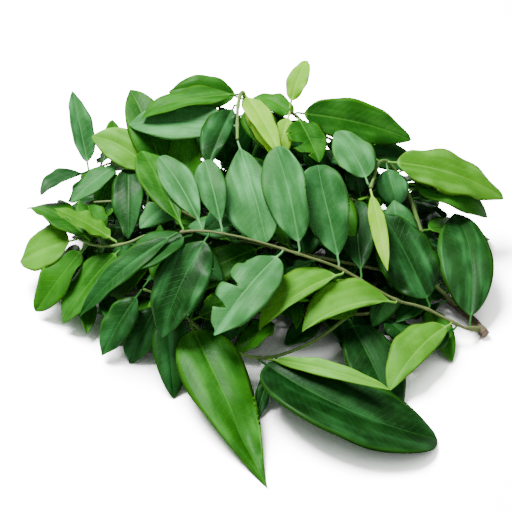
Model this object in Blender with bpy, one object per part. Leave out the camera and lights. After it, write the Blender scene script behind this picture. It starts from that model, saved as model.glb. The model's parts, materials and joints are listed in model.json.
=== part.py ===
"""Curry leaf sprig: a cut shoot lying on its side, one short woody stem carrying seven compound leaves.

Every compound leaf is a thin rachis with stalked leaflets. The growth tables below say where each rachis runs
and how each leaflet leaves it; a leaflet that would touch a neighbour is turned a little until it is clear.
Lengths in the tables are millimetres and angles are degrees; the built meshes are in metres, +Z up.
"""
import math
from dataclasses import dataclass, replace
from itertools import product

import bmesh
import bpy
from mathutils import Matrix, Vector
from mathutils.bvhtree import BVHTree

MM = 0.001

# Gaps and the surface that the sprig lies on
JOINT_GAP = 0.35
TEST_MARGIN = 0.2
GROUND_CLEARANCE = 0.3
GROUND_SOFTNESS = 0.6
MIDRIB_LOWEST = 0.6
STEEPEST_LIFT = 0.5

# Woody stem and rachises
STEM_BASE_RADIUS = 2.1
STEM_TIP_RADIUS = 1.3
STEM_SWELLING = 0.1
RACHIS_BASE_RADIUS = 0.95
RACHIS_TIP_RADIUS = 0.55
RACHIS_SWELLING = 0.75
SWELLING_LENGTH = 3.0
STALK_POINT_SPACING = 6.0

# Leaflets
PETIOLULE_LENGTH = 3.6
PETIOLULE_RADIUS = 0.48
PETIOLULE_STATIONS = (-1.0, -0.4)
TIP_RADIUS = 0.12
BLADE_THICKNESS = 0.5
TIP_THINNING = 0.4
FOLD_FLATTENING = 0.45
BLADE_STATIONS = (0.03, 0.11, 0.23, 0.36, 0.50, 0.64, 0.77, 0.88, 0.965)
WIDEST_AT = 0.42
PRESSED_STATIONS = BLADE_STATIONS[5:7]
TIP_SHARPNESS = 0.85
MARGIN_WAVE = 0.5
WAVES_PER_BLADE = 2.2
WAVE_PHASE_STEP = 2.4

# Turns that a leaflet may take to clear its neighbours: heading, climb and roll
HEADING_NUDGES = (0, 5, -5, 10, -10, 16, -16, 24, -24)
CLIMB_NUDGES = (0, 4, -4, 8, -8, 14, -14, 20, -20, 28, -28)
ROLL_NUDGES = (0, 12, -12, 24, -24)

LEAF_COLOURS = {
    "leaf_deep": (0.012, 0.085, 0.016),
    "leaf_mature": (0.055, 0.230, 0.028),
    "leaf_sage": (0.150, 0.340, 0.135),
    "leaf_fresh": (0.230, 0.440, 0.085),
    "leaf_young": (0.480, 0.680, 0.200),
}
STALK_COLOURS = {
    "rachis_bark": (0.190, 0.150, 0.060),
    "stem_bark": (0.150, 0.095, 0.055),
}
LEAF_ROUGHNESS = 0.38
STALK_ROUGHNESS = 0.60


@dataclass(frozen=True)
class Leaflet:
    """One leaflet: where it leaves the rachis, which way its midrib runs, and its shape."""

    at: float
    heading: float
    climb: float
    length: float
    width: float
    tone: str
    arch: float = 20
    sway: float = 0
    roll: float = 0
    fold: float = 10
    pressed: bool = False


@dataclass(frozen=True)
class Stalk:
    """A tapering round stalk with a swollen base: its points from base to tip and its radii."""

    points: tuple
    base_radius: float
    tip_radius: float
    swelling: float

    def length(self):
        """Length along the stalk."""
        return sum((b - a).length for a, b in zip(self.points, self.points[1:]))

    def radius(self, station):
        """Radius at a station from 0, the base, to 1, the tip."""
        swollen = self.swelling * math.exp(-((station * self.length() / SWELLING_LENGTH) ** 2))
        return self.base_radius * (1 + swollen) + (self.tip_radius - self.base_radius) * station

    def at(self, station):
        """Point and unit direction at a station."""
        return point_along(self.points, station)


@dataclass(frozen=True)
class CompoundLeaf:
    """One rachis, by the points it passes after leaving the woody stem, and its leaflets from base to tip."""

    name: str
    leaves_stem_at: float
    route: tuple
    leaflets: tuple


STEM_ROUTE = ((97, -14, 2.9), (88, 2, 3.4), (69, 21, 6), (42, 36, 9), (16, 42, 12), (-8, 42, 15), (-26, 36, 20))

FRONT = CompoundLeaf(
    "front_leaf", 0.02,
    ((86, -16, 9), (70, -12, 16), (57, -12, 21), (35, -7, 33), (18, -6, 40), (-4, -3, 46), (-21, -2, 49), (-31, -4, 50)),
    (
        Leaflet(0.02, 91, 14, 56, 26, "leaf_deep", arch=25, sway=25),
        Leaflet(0.08, -152, -10, 24, 13, "leaf_deep", arch=10),
        Leaflet(0.10, -134, -8, 48, 20, "leaf_fresh", arch=40),
        Leaflet(0.18, 120, 30, 42, 24, "leaf_deep"),
        Leaflet(0.29, -160, -6, 42, 20, "leaf_fresh", arch=50, roll=-15),
        Leaflet(0.42, 92, 12, 36, 17, "leaf_deep"),
        Leaflet(0.50, 105, 34, 39, 21, "leaf_sage"),
        Leaflet(0.48, -146, -10, 42, 20, "leaf_fresh", arch=35),
        Leaflet(0.63, 101, 30, 42, 21, "leaf_sage"),
        Leaflet(0.68, -130, -23, 42, 22, "leaf_sage", arch=30),
        Leaflet(0.87, 104, 20, 31, 14, "leaf_sage"),
        Leaflet(0.91, -120, -40, 43, 24, "leaf_deep", arch=40),
        Leaflet(0.93, 116, 19, 37, 17, "leaf_sage"),
        Leaflet(0.96, -160, -23, 31, 18, "leaf_deep", arch=30),
        Leaflet(0.985, 114, 13, 48, 19, "leaf_mature"),
        Leaflet(1.0, -151, -33, 49, 18, "leaf_deep", arch=35),
    ),
)

TOP = CompoundLeaf(
    "top_leaf", 0.78,
    ((-3, 60, 30), (-4, 80, 50), (-6, 77, 66), (-8, 62, 67), (-8, 44, 62)),
    (
        Leaflet(0.22, 98, -46, 46, 18, "leaf_mature", arch=35),
        Leaflet(0.60, 179, 0, 31, 17, "leaf_mature", arch=50, roll=-35),
        Leaflet(0.66, -71, -8, 46, 17, "leaf_young", arch=30),
        Leaflet(0.72, -163, -4, 42, 18, "leaf_mature"),
        Leaflet(0.80, -108, -16, 34, 17, "leaf_deep"),
        Leaflet(0.92, 166, -6, 46, 22, "leaf_sage", roll=-20),
        Leaflet(1.0, -75, -20, 47, 22, "leaf_sage"),
    ),
)

BACK = CompoundLeaf(
    "back_leaf", 0.56,
    ((32, 56, 26), (26, 72, 46), (15, 73, 59)),
    (
        Leaflet(0.32, 64, -42, 46, 18, "leaf_mature", arch=35),
        Leaflet(0.66, -6, -12, 50, 19, "leaf_deep", roll=15),
        Leaflet(0.95, -4, -15, 51, 24, "leaf_mature", roll=30),
        Leaflet(0.92, -76, -4, 31, 17, "leaf_mature"),
        Leaflet(1.0, 65, 28, 22, 12, "leaf_young", arch=60),
    ),
)

RIGHT = CompoundLeaf(
    "right_leaf", 0.27,
    ((73, 32, 22), (66, 48, 36), (56, 51, 47), (49, 31, 46)),
    (
        Leaflet(0.24, 28, -30, 42, 18, "leaf_mature", arch=30),
        Leaflet(0.52, -12, -14, 40, 19, "leaf_mature"),
        Leaflet(0.70, 0, -30, 54, 24, "leaf_fresh", arch=30, roll=20),
        Leaflet(0.98, 110, 14, 29, 17, "leaf_sage"),
        Leaflet(1.0, -82, -24, 36, 8, "leaf_young"),
    ),
)

UPPER_LEFT = CompoundLeaf(
    "upper_left_leaf", 0.96,
    ((-36, 42, 34), (-48, 52, 44), (-61, 56, 43), (-76, 58, 36)),
    (
        Leaflet(0.30, 112, -45, 52, 19, "leaf_mature", arch=25),
        Leaflet(0.42, 115, 40, 44, 20, "leaf_mature", arch=40),
        Leaflet(0.48, 145, 4, 32, 18, "leaf_fresh", arch=40),
        Leaflet(0.70, -84, -22, 36, 15, "leaf_deep"),
        Leaflet(0.74, -144, -22, 26, 14, "leaf_sage"),
        Leaflet(1.0, 106, 30, 37, 13, "leaf_sage"),
    ),
)

LEFT = CompoundLeaf(
    "left_leaf", 0.90,
    ((-42, 18, 32), (-56, 9, 33), (-68, 12, 30), (-77, 20, 27)),
    (
        Leaflet(0.42, -148, -42, 43, 19, "leaf_mature", arch=25),
        Leaflet(0.70, -142, -42, 38, 18, "leaf_mature", arch=25),
        Leaflet(0.72, 156, 14, 34, 15, "leaf_fresh"),
        Leaflet(0.82, 112, 4, 28, 15, "leaf_mature"),
        Leaflet(0.90, 130, -2, 44, 18, "leaf_mature"),
        Leaflet(0.92, -134, -44, 33, 17, "leaf_mature", arch=25),
        Leaflet(1.0, 176, -34, 27, 20, "leaf_fresh", roll=-15),
    ),
)

LOW_FRONT = CompoundLeaf(
    "low_front_leaf", 0.38,
    ((48, 4, 10), (38, -14, 13), (20, -30, 12), (0, -37, 12), (-20, -27, 15), (-36, -13, 21), (-47, -9, 24)),
    (
        Leaflet(0.30, -70, -16, 46, 22, "leaf_deep"),
        Leaflet(0.60, -22, -9, 74, 31, "leaf_deep", arch=10, sway=35, fold=22),
        Leaflet(0.58, -24, -5, 48, 16, "leaf_fresh", roll=10),
        Leaflet(0.82, -66, -14, 75, 26, "leaf_mature", arch=10, pressed=True),
        Leaflet(0.94, -128, -48, 26, 15, "leaf_deep"),
        Leaflet(1.0, -132, -42, 28, 14, "leaf_deep"),
    ),
)

COMPOUND_LEAVES = (FRONT, TOP, BACK, RIGHT, UPPER_LEFT, LEFT, LOW_FRONT)


def smooth_route(points, spacing):
    """Points at an even spacing along a smooth curve through the given ones."""
    anchors = [Vector(point) for point in points]
    before = anchors[0] * 2 - anchors[1]
    after = anchors[-1] * 2 - anchors[-2]
    padded = [before, *anchors, after]
    dense = []
    for first, start, end, last in zip(padded, padded[1:], padded[2:], padded[3:]):
        for step in range(12):
            t = step / 12
            curve = (
                start * 2
                + (end - first) * t
                + (first * 2 - start * 5 + end * 4 - last) * t**2
                + (start * 3 - first - end * 3 + last) * t**3
            )
            dense.append(curve / 2)
    dense.append(anchors[-1])
    length = sum((b - a).length for a, b in zip(dense, dense[1:]))
    count = max(3, round(length / spacing))
    return [point_along(dense, index / count)[0] for index in range(count + 1)]


def point_along(points, station):
    """The point and unit direction at a station, 0 to 1, of the line through the points."""
    lengths = [(b - a).length for a, b in zip(points, points[1:])]
    remaining = station * sum(lengths)
    for start, end, length in zip(points, points[1:], lengths):
        if remaining <= length or end is points[-1]:
            direction = (end - start).normalized()
            return start + direction * min(remaining, length), direction
        remaining -= length


def heading_vector(heading, climb):
    """Unit vector with this compass heading and rise."""
    heading, climb = math.radians(heading), math.radians(climb)
    return Vector((math.cos(climb) * math.cos(heading), math.cos(climb) * math.sin(heading), math.sin(climb)))


def above_ground(point):
    """Lifts a point of a blade that would sink into the surface, ever more gently the lower it is."""
    if point.z >= GROUND_CLEARANCE + GROUND_SOFTNESS:
        return point
    depth = (point.z - GROUND_CLEARANCE - GROUND_SOFTNESS) / GROUND_SOFTNESS
    return Vector((point.x, point.y, GROUND_CLEARANCE + GROUND_SOFTNESS * math.exp(depth)))


def climb_above_ground(height, step):
    """The least rise of a midrib that keeps its next point over the surface, in degrees."""
    if step == 0:
        return -90.0
    rise = (MIDRIB_LOWEST - height) / step
    return math.degrees(math.asin(max(-1.0, min(STEEPEST_LIFT, rise))))


def half_width(station, width):
    """Half the blade's width at a station: ovate, widest a little before the middle, with a pointed tip."""
    base_power = TIP_SHARPNESS * WIDEST_AT / (1 - WIDEST_AT)
    peak = WIDEST_AT**base_power * (1 - WIDEST_AT) ** TIP_SHARPNESS
    return width / 2 * station**base_power * (1 - station) ** TIP_SHARPNESS / peak


def midrib_frames(leaflet, start):
    """Point, direction, up and side at the petiolule's start and end and at every blade station."""
    petiolule = [station * PETIOLULE_LENGTH / leaflet.length for station in PETIOLULE_STATIONS]
    stations = [*petiolule, *BLADE_STATIONS, 1.0]
    point = start.copy()
    frames = []
    for station, following in zip(stations, [*stations[1:], 1.0]):
        along = max(station, 0.0)
        heading = leaflet.heading + leaflet.sway * (along - 0.5)
        climb = leaflet.climb + leaflet.arch * (0.5 - along)
        step = (following - station) * leaflet.length
        climb = max(climb, climb_above_ground(point.z, step))
        direction = heading_vector(heading, climb)
        side = direction.cross(Vector((0, 0, 1))).normalized()
        side = Matrix.Rotation(math.radians(leaflet.roll), 3, direction) @ side
        frames.append((station, point.copy(), direction, side.cross(direction), side))
        point += direction * step
    return frames


def petiolule_ring(point, up, side, radius):
    """Eight points round the petiolule, from the left over the top to the right and back underneath."""
    angles = [math.pi - index * math.pi / 4 for index in range(8)]
    return [point + (side * math.cos(angle) + up * math.sin(angle)) * radius for angle in angles]


def blade_ring(leaflet, frame, margin, phase):
    """Eight points round the blade: rims, and the top and underside between them."""
    station, point, _, up, side = frame
    reach = half_width(station, leaflet.width) + margin
    fold = math.tan(math.radians(leaflet.fold))
    middle = []
    for across in (-1.0, -0.5, 0.0, 0.5, 1.0):
        wave_side = math.copysign(1.0, across) * phase
        wave = MARGIN_WAVE * across**2 * math.sin(2 * math.pi * WAVES_PER_BLADE * station + wave_side)
        lift = abs(across) * reach * fold * (1 - FOLD_FLATTENING * abs(across)) + wave
        middle.append(above_ground(point + side * across * reach + up * lift))
    half = (BLADE_THICKNESS / 2 + margin) * (1 - TIP_THINNING * station)
    top = [middle[1] + up * half, middle[2] + up * half, middle[3] + up * half]
    under = [middle[3] - up * half, middle[2] - up * half, middle[1] - up * half]
    if leaflet.pressed and station in PRESSED_STATIONS:
        under[1].z = 0.0
        under[2].z = 0.0
    return [middle[0], *top, middle[4], *under]


def leaflet_rings(leaflet, start, phase, margin=0.0):
    """All cross-sections of a leaflet in order, from its petiolule to its tip."""
    rings = []
    for frame in midrib_frames(leaflet, start):
        station, point, direction, up, side = frame
        if station <= 0:
            rings.append(petiolule_ring(point, up, side, PETIOLULE_RADIUS + margin))
        elif station < 1:
            rings.append(blade_ring(leaflet, frame, margin, phase))
        else:
            rings.append(petiolule_ring(above_ground(point), up, side, TIP_RADIUS + margin))
    return rings


def loft(rings):
    """Closed mesh through the rings, made by extruding the first ring's cap from one ring to the next."""
    mesh = bmesh.new()
    bmesh.ops.create_circle(mesh, cap_ends=True, segments=len(rings[0]), radius=MM)
    cap = mesh.faces[:][0]
    for vertex, place in zip(cap.verts, rings[0]):
        vertex.co = place * MM
    bottom = cap.copy(verts=False, edges=False)
    bottom.normal_flip()
    for ring in rings[1:]:
        cap = bmesh.ops.extrude_discrete_faces(mesh, faces=[cap])["faces"][0]
        for vertex, place in zip(cap.verts, ring):
            vertex.co = place * MM
    bmesh.ops.recalc_face_normals(mesh, faces=mesh.faces)
    bmesh.ops.triangulate(mesh, faces=mesh.faces, quad_method="SHORT_EDGE", ngon_method="BEAUTY")
    return mesh


def as_polygons(mesh):
    """Vertices and faces of a mesh as lists that a collision tree reads."""
    mesh.verts.index_update()
    return [vertex.co.copy() for vertex in mesh.verts], [[v.index for v in face.verts] for face in mesh.faces]


class Neighbours:
    """Everything placed so far, as one collision tree."""

    def __init__(self):
        self.vertices = []
        self.polygons = []
        self.tree = None

    def add(self, vertices, polygons):
        """Adds one placed solid."""
        offset = len(self.vertices)
        self.vertices += vertices
        self.polygons += [[index + offset for index in polygon] for polygon in polygons]
        self.tree = BVHTree.FromPolygons(self.vertices, self.polygons)

    def touch(self, mesh):
        """Says whether the mesh meets anything placed."""
        return bool(self.tree.overlap(BVHTree.FromPolygons(*as_polygons(mesh))))


def material(name, colour, roughness):
    """A Principled material of one colour."""
    result = bpy.data.materials.new(name)
    result.use_nodes = True
    shader = result.node_tree.nodes["Principled BSDF"]
    shader.inputs["Base Color"].default_value = (*colour, 1.0)
    shader.inputs["Roughness"].default_value = roughness
    shader.inputs["Metallic"].default_value = 0.0
    result.diffuse_color = (*colour, 1.0)
    return result


def build_stalk(name, stalk, finish):
    """The stalk as a bevelled curve with filled ends."""
    curve = bpy.data.curves.new(name, "CURVE")
    curve.dimensions = "3D"
    curve.bevel_depth = MM
    curve.bevel_resolution = 1
    curve.use_fill_caps = True
    spline = curve.splines.new("POLY")
    last = len(stalk.points) - 1
    spline.points.add(last)
    for index, (knot, point) in enumerate(zip(spline.points, stalk.points)):
        knot.co = (*(point * MM), 1.0)
        knot.radius = stalk.radius(index / last)
    spline.use_smooth = True
    curve.materials.append(finish)
    thing = bpy.data.objects.new(name, curve)
    bpy.context.collection.objects.link(thing)
    return thing


def evaluated_polygons(thing):
    """Vertices and faces of an object as the viewport shows it."""
    shown = thing.evaluated_get(bpy.context.evaluated_depsgraph_get())
    mesh = shown.to_mesh()
    result = [vertex.co.copy() for vertex in mesh.vertices], [list(face.vertices) for face in mesh.polygons]
    shown.to_mesh_clear()
    return result


def grow_rachis(leaf, stem):
    """The rachis from the woody stem's bark to its tip, clear of the bark by the joint gap."""
    joint, along = stem.at(leaf.leaves_stem_at)
    away = Vector(leaf.route[0]) - joint
    away = (away - along * away.dot(along)).normalized()
    swollen = RACHIS_BASE_RADIUS * (1 + RACHIS_SWELLING)
    start = joint + away * (stem.radius(leaf.leaves_stem_at) + JOINT_GAP + swollen)
    points = tuple(smooth_route([start, *leaf.route], STALK_POINT_SPACING))
    return Stalk(points, RACHIS_BASE_RADIUS, RACHIS_TIP_RADIUS, RACHIS_SWELLING)


def leaflet_start(leaflet, rachis):
    """Where the petiolule begins, clear of the rachis by the joint gap."""
    joint, along = rachis.at(leaflet.at)
    direction = heading_vector(leaflet.heading, leaflet.climb + leaflet.arch / 2)
    if leaflet.at >= 1:
        return joint + direction * (JOINT_GAP + PETIOLULE_RADIUS)
    away = (direction - along * direction.dot(along)).normalized()
    return joint + away * (rachis.radius(leaflet.at) + JOINT_GAP + PETIOLULE_RADIUS)


def turned(leaflet, heading, climb, roll):
    """The same leaflet, turned by these angles at its base."""
    return replace(leaflet, heading=leaflet.heading + heading, climb=leaflet.climb + climb, roll=leaflet.roll + roll)


def nudges():
    """Small turns of a leaflet, the smallest first."""
    turns = product(HEADING_NUDGES, CLIMB_NUDGES, ROLL_NUDGES)
    return sorted(turns, key=lambda turn: abs(turn[0]) + abs(turn[1]) + 0.5 * abs(turn[2]))


def place_leaflet(name, leaflet, rachis, neighbours, phase):
    """The leaflet's mesh at the first turn that keeps it clear of everything placed before it."""
    for turn in nudges():
        trial = turned(leaflet, *turn)
        start = leaflet_start(trial, rachis)
        tested = loft(leaflet_rings(trial, start, phase, TEST_MARGIN))
        clash = neighbours.touch(tested)
        tested.free()
        if not clash:
            return loft(leaflet_rings(trial, start, phase))
    raise ValueError(f"{name} has no room")


def link_mesh(name, mesh, finish):
    """Turns a bmesh into a smooth shaded object with this material."""
    data = bpy.data.meshes.new(name)
    mesh.to_mesh(data)
    mesh.free()
    data.shade_smooth()
    data.materials.append(finish)
    thing = bpy.data.objects.new(name, data)
    bpy.context.collection.objects.link(thing)
    return thing


def centre_on_origin(things):
    """Moves everything sideways so that the origin is under the middle of the bounding box."""
    bpy.context.view_layer.update()
    corners = [vertex for thing in things for vertex in evaluated_polygons(thing)[0]]
    middle_x = (min(c.x for c in corners) + max(c.x for c in corners)) / 2
    middle_y = (min(c.y for c in corners) + max(c.y for c in corners)) / 2
    for thing in things:
        thing.location = (-middle_x, -middle_y, 0.0)


def main():
    """Builds the stem, the rachises and then the leaflets."""
    for thing in list(bpy.data.objects):
        bpy.data.objects.remove(thing, do_unlink=True)
    leaf_finishes = {name: material(name, colour, LEAF_ROUGHNESS) for name, colour in LEAF_COLOURS.items()}
    bark = {name: material(name, colour, STALK_ROUGHNESS) for name, colour in STALK_COLOURS.items()}
    stem_points = tuple(smooth_route(STEM_ROUTE, STALK_POINT_SPACING))
    stem = Stalk(stem_points, STEM_BASE_RADIUS, STEM_TIP_RADIUS, STEM_SWELLING)
    built = [build_stalk("woody_stem", stem, bark["stem_bark"])]
    rachises = {}
    for leaf in COMPOUND_LEAVES:
        rachises[leaf.name] = grow_rachis(leaf, stem)
        built.append(build_stalk(f"{leaf.name}_rachis", rachises[leaf.name], bark["rachis_bark"]))
    bpy.context.view_layer.update()
    neighbours = Neighbours()
    for thing in built:
        neighbours.add(*evaluated_polygons(thing))
    phase = 0.0
    for leaf in COMPOUND_LEAVES:
        for number, leaflet in enumerate(leaf.leaflets, start=1):
            phase += WAVE_PHASE_STEP
            name = f"{leaf.name}_leaflet_{number:02d}"
            mesh = place_leaflet(name, leaflet, rachises[leaf.name], neighbours, phase)
            neighbours.add(*as_polygons(mesh))
            built.append(link_mesh(name, mesh, leaf_finishes[leaflet.tone]))
    centre_on_origin(built)


if __name__ == "__main__":
    main()
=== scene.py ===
"""Curry leaf sprig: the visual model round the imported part.

Each leaflet of the part is rebuilt as a thin veined blade on its own petiolule, each stalk as a ridged tube,
and inner leaflets that the part leaves out are grown between them. Lengths are metres unless a name says mm.
"""
import json
import logging
import math
import random
from dataclasses import dataclass, field, replace
from enum import Enum
from functools import lru_cache
from typing import Callable, Optional, Sequence, Union

import bmesh
import bpy
import numpy as np
from mathutils import Matrix, Vector
from mathutils.bvhtree import BVHTree


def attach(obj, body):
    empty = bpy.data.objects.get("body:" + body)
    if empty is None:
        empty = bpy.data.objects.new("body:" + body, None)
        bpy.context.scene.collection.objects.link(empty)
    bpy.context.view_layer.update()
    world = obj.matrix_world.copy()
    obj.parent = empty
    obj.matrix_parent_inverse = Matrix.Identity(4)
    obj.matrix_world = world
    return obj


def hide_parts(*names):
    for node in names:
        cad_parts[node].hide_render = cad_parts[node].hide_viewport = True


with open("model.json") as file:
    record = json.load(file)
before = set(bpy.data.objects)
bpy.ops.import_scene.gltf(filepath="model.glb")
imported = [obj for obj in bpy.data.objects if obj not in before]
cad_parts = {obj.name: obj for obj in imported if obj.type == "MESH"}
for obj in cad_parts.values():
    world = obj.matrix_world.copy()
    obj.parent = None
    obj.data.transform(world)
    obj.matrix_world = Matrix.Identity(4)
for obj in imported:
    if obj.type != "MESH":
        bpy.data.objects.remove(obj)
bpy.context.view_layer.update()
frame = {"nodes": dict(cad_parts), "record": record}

MM = 0.001
UP = Vector((0.0, 0.0, 1.0))
WELD = 1e-7
CAGE_WELD = 2e-6
CLEARANCE = 0.12 * MM
LEAST_HEIGHT = 0.2 * MM

log = logging.getLogger("curry_leaf_sprig")

STEM = "woody_stem"
Colour = tuple[float, float, float]
Socket = bpy.types.NodeSocket
Number = Union[float, Socket]
Paint = Union[Colour, Socket]


class Tone(Enum):
    """The leaf finishes, by the record's slot names."""

    DEEP = "leaf_deep"
    MATURE = "leaf_mature"
    SAGE = "leaf_sage"
    FRESH = "leaf_fresh"
    YOUNG = "leaf_young"


class Bark(Enum):
    """The stalk finishes, by the record's slot names."""

    RACHIS = "rachis_bark"
    STEM = "stem_bark"


@dataclass(frozen=True)
class LeafFinish:
    """Colours and gloss of one tone of leaf."""

    # shade and light are painted shade and painted light: the dark and pale colours that a leaf's colour runs
    # between
    shade: Colour
    light: Colour
    under: Colour
    vein: Colour
    rim: Colour
    glow: Colour
    # painted sheen: the pale colour of the streaks painted along the blade
    painted_sheen: Colour
    roughness: float
    coat: float
    let_through: float


@dataclass(frozen=True)
class StalkFinish:
    """Colours and gloss of one kind of stalk."""

    dark: Colour
    pale: Colour
    green: Colour
    roughness: float
    grain: float


# Each leaf finish gives shade, light, under, vein, rim, glow and sheen colours, then roughness, coat and the
# share of light let through; the shade and light colours are painted shade and painted light, and the sheen
# colour is a painted sheen.
LEAF_FINISHES = {
    Tone.DEEP: LeafFinish(
        (0.001, 0.016, 0.001), (0.016, 0.110, 0.014), (0.022, 0.120, 0.020), (0.045, 0.210, 0.040),
        (0.050, 0.250, 0.012), (0.02, 0.30, 0.01), (0.060, 0.300, 0.080), 0.38, 0.05, 0.10),
    Tone.MATURE: LeafFinish(
        (0.006, 0.075, 0.002), (0.054, 0.310, 0.011), (0.052, 0.240, 0.020), (0.115, 0.420, 0.040),
        (0.120, 0.450, 0.010), (0.08, 0.56, 0.01), (0.110, 0.480, 0.060), 0.40, 0.04, 0.16),
    Tone.SAGE: LeafFinish(
        (0.018, 0.125, 0.022), (0.095, 0.390, 0.098), (0.095, 0.310, 0.085), (0.190, 0.560, 0.190),
        (0.150, 0.480, 0.080), (0.10, 0.56, 0.07), (0.170, 0.640, 0.225), 0.44, 0.03, 0.15),
    Tone.FRESH: LeafFinish(
        (0.050, 0.240, 0.006), (0.190, 0.600, 0.036), (0.190, 0.480, 0.055), (0.330, 0.720, 0.110),
        (0.300, 0.700, 0.040), (0.30, 0.86, 0.02), (0.290, 0.780, 0.120), 0.42, 0.03, 0.22),
    Tone.YOUNG: LeafFinish(
        (0.200, 0.600, 0.012), (0.540, 0.980, 0.045), (0.480, 0.820, 0.080), (0.640, 0.960, 0.160),
        (0.540, 0.920, 0.060), (0.62, 1.00, 0.04), (0.660, 1.000, 0.200), 0.44, 0.02, 0.28),
}
STALK_FINISHES = {
    Bark.RACHIS: StalkFinish((0.085, 0.090, 0.030), (0.260, 0.260, 0.105), (0.130, 0.330, 0.045), 0.55, 0.25),
    Bark.STEM: StalkFinish((0.070, 0.045, 0.026), (0.210, 0.150, 0.095), (0.060, 0.090, 0.030), 0.72, 0.55),
}


@dataclass(frozen=True)
class Habit:
    """How a leaflet's blade strays from its even cage as it wilts and curls.

    Twist, tip_bend, sweep and the folds are degrees: tip_bend turns the blade down beyond bend_from, sweep
    turns it sideways to its tip, and a fold lifts that half. A share below 1 narrows that half, and ragged
    bites the right rim. Paleness, from 0 to 1, moves the colour from the painted-shade towards the
    painted-light colour, and the strength of the painted sheen streaks runs from 0 to 1; both are left to
    chance when they are not given.
    """

    twist: float = 0.0
    wave_mm: float = 0.5
    waves: float = 3.5
    phase_left: float = 0.0
    phase_right: float = 2.0
    curl_mm: float = 0.0
    left_share: float = 1.0
    right_share: float = 1.0
    tip_bend: float = 0.0
    bend_from: float = 0.45
    sweep: float = 0.0
    left_fold: float = 0.0
    right_fold: float = 0.0
    ragged: float = 0.0
    stretch: float = 1.0
    widest_at: float = 0.42
    tip_power: float = 0.85
    # paleness moves the colour from the painted-shade towards the painted-light colour
    paleness: Optional[float] = None
    # strength of the painted sheen streaks
    painted_sheen: Optional[float] = None

    def softened(self, strength: float) -> "Habit":
        """The same habit, this much weaker."""
        names = ("twist", "wave_mm", "curl_mm", "tip_bend", "sweep", "left_fold", "right_fold")
        return replace(self, **{name: getattr(self, name) * strength for name in names})


@dataclass(frozen=True)
class BladeShape:
    """Measures that all blades share. Stations and shares run from 0 at the blade's base or midrib to 1."""

    thickness: float = 0.28 * MM
    rows: int = 44
    fewest_rows: int = 10
    petiolule_rows: int = 8
    fewest_petiolule_rows: int = 3
    columns: int = 36
    fewest_half_columns: int = 4
    even_rows: float = 0.5
    rim_crowding: float = 0.3
    petiolule_radius: float = 0.46 * MM
    petiolule_fades_at: float = 0.07
    joint_rounding: float = 0.01
    groove: float = 0.16 * MM
    ridge: float = 0.42 * MM
    rib_width: float = 0.42 * MM
    rib_thinning: float = 0.75
    quilt: float = 0.07 * MM
    vein_spacing_mm: float = 3.1
    vein_slant: float = 0.85
    wide_bites: float = 25.0
    small_bites: float = 53.0
    small_bite_share: float = 0.4
    whole_rim: float = 0.1
    thins_from: float = 0.96
    shuts_from: float = 0.995
    tip_thickness: float = 0.001


BLADE = BladeShape()
EVEN = Habit(wave_mm=0.0)
UNTWISTED_AT = 0.35
BENDS_FULLY_AT = 0.2


def outline(habit: Habit, station: np.ndarray) -> np.ndarray:
    """The blade's half width along its midrib, as a share of the widest."""
    base_power = habit.tip_power * habit.widest_at / (1 - habit.widest_at)
    peak = habit.widest_at**base_power * (1 - habit.widest_at) ** habit.tip_power
    station = np.clip(station, 0.0, 1.0)
    return station**base_power * (1 - station) ** habit.tip_power / peak


def smoothstep(low: float, high: float, value: np.ndarray) -> np.ndarray:
    """A smooth rise from 0 at low to 1 at high."""
    share = np.clip((value - low) / (high - low), 0.0, 1.0)
    return share * share * (3 - 2 * share)


def follow(stations: np.ndarray, values: np.ndarray, wanted: np.ndarray) -> np.ndarray:
    """Reads a smooth track between the values that it passes through.

    Args:
        stations: rising places of the values.
        values: one row for each station.
        wanted: the places to read.

    Returns:
        One row for each wanted place.
    """
    gaps = np.diff(stations)[:, None]
    slopes = np.diff(values, axis=0) / gaps
    inner = (slopes[1:] * gaps[:-1] + slopes[:-1] * gaps[1:]) / (gaps[1:] + gaps[:-1])
    tangents = np.vstack([slopes[:1], inner, slopes[-1:]])
    index = np.clip(np.searchsorted(stations, wanted, side="right") - 1, 0, len(stations) - 2)
    gap = gaps[index]
    t = ((wanted - stations[index])[:, None]) / gap
    start, end = values[index], values[index + 1]
    return (
        start * (2 * t**3 - 3 * t**2 + 1)
        + tangents[index] * gap * (t**3 - 2 * t**2 + t)
        + end * (3 * t**2 - 2 * t**3)
        + tangents[index + 1] * gap * (t**3 - t**2)
    )


def unit(vectors: np.ndarray) -> np.ndarray:
    """The same vectors at length 1."""
    return vectors / np.maximum(np.linalg.norm(vectors, axis=-1, keepdims=True), 1e-12)


def turned_about(vectors: np.ndarray, axes: np.ndarray, angles: np.ndarray) -> np.ndarray:
    """Each vector turned about its own axis by its own angle in radians."""
    cosine, sine = np.cos(angles)[:, None], np.sin(angles)[:, None]
    along = (vectors * axes).sum(axis=1, keepdims=True)
    return vectors * cosine + np.cross(axes, vectors) * sine + axes * along * (1 - cosine)


def wrapped_skin(places: np.ndarray, marks: dict[str, np.ndarray]) -> bmesh.types.BMesh:
    """A closed skin from a grid whose rows wrap round and whose first and last rows are poles.

    Args:
        places: rows x columns x 3 positions; the grid's last column joins its first.
        marks: named rows x columns x 3 values that the finishes read.

    Returns:
        The welded mesh, its faces outwards.
    """
    rows, columns = places.shape[:2]
    mesh = bmesh.new()
    layers = {name: mesh.verts.layers.float_vector.new(name) for name in marks}
    bmesh.ops.create_grid(mesh, x_segments=rows - 1, y_segments=columns, size=1.0)
    for vertex in mesh.verts:
        row = round((vertex.co.x + 1) / 2 * (rows - 1))
        column = round((vertex.co.y + 1) / 2 * columns) % columns
        for name, layer in layers.items():
            vertex[layer] = marks[name][row, column]
        vertex.co = places[row, column]
    bmesh.ops.remove_doubles(mesh, verts=mesh.verts, dist=WELD)
    bmesh.ops.recalc_face_normals(mesh, faces=mesh.faces)
    return mesh


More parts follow.
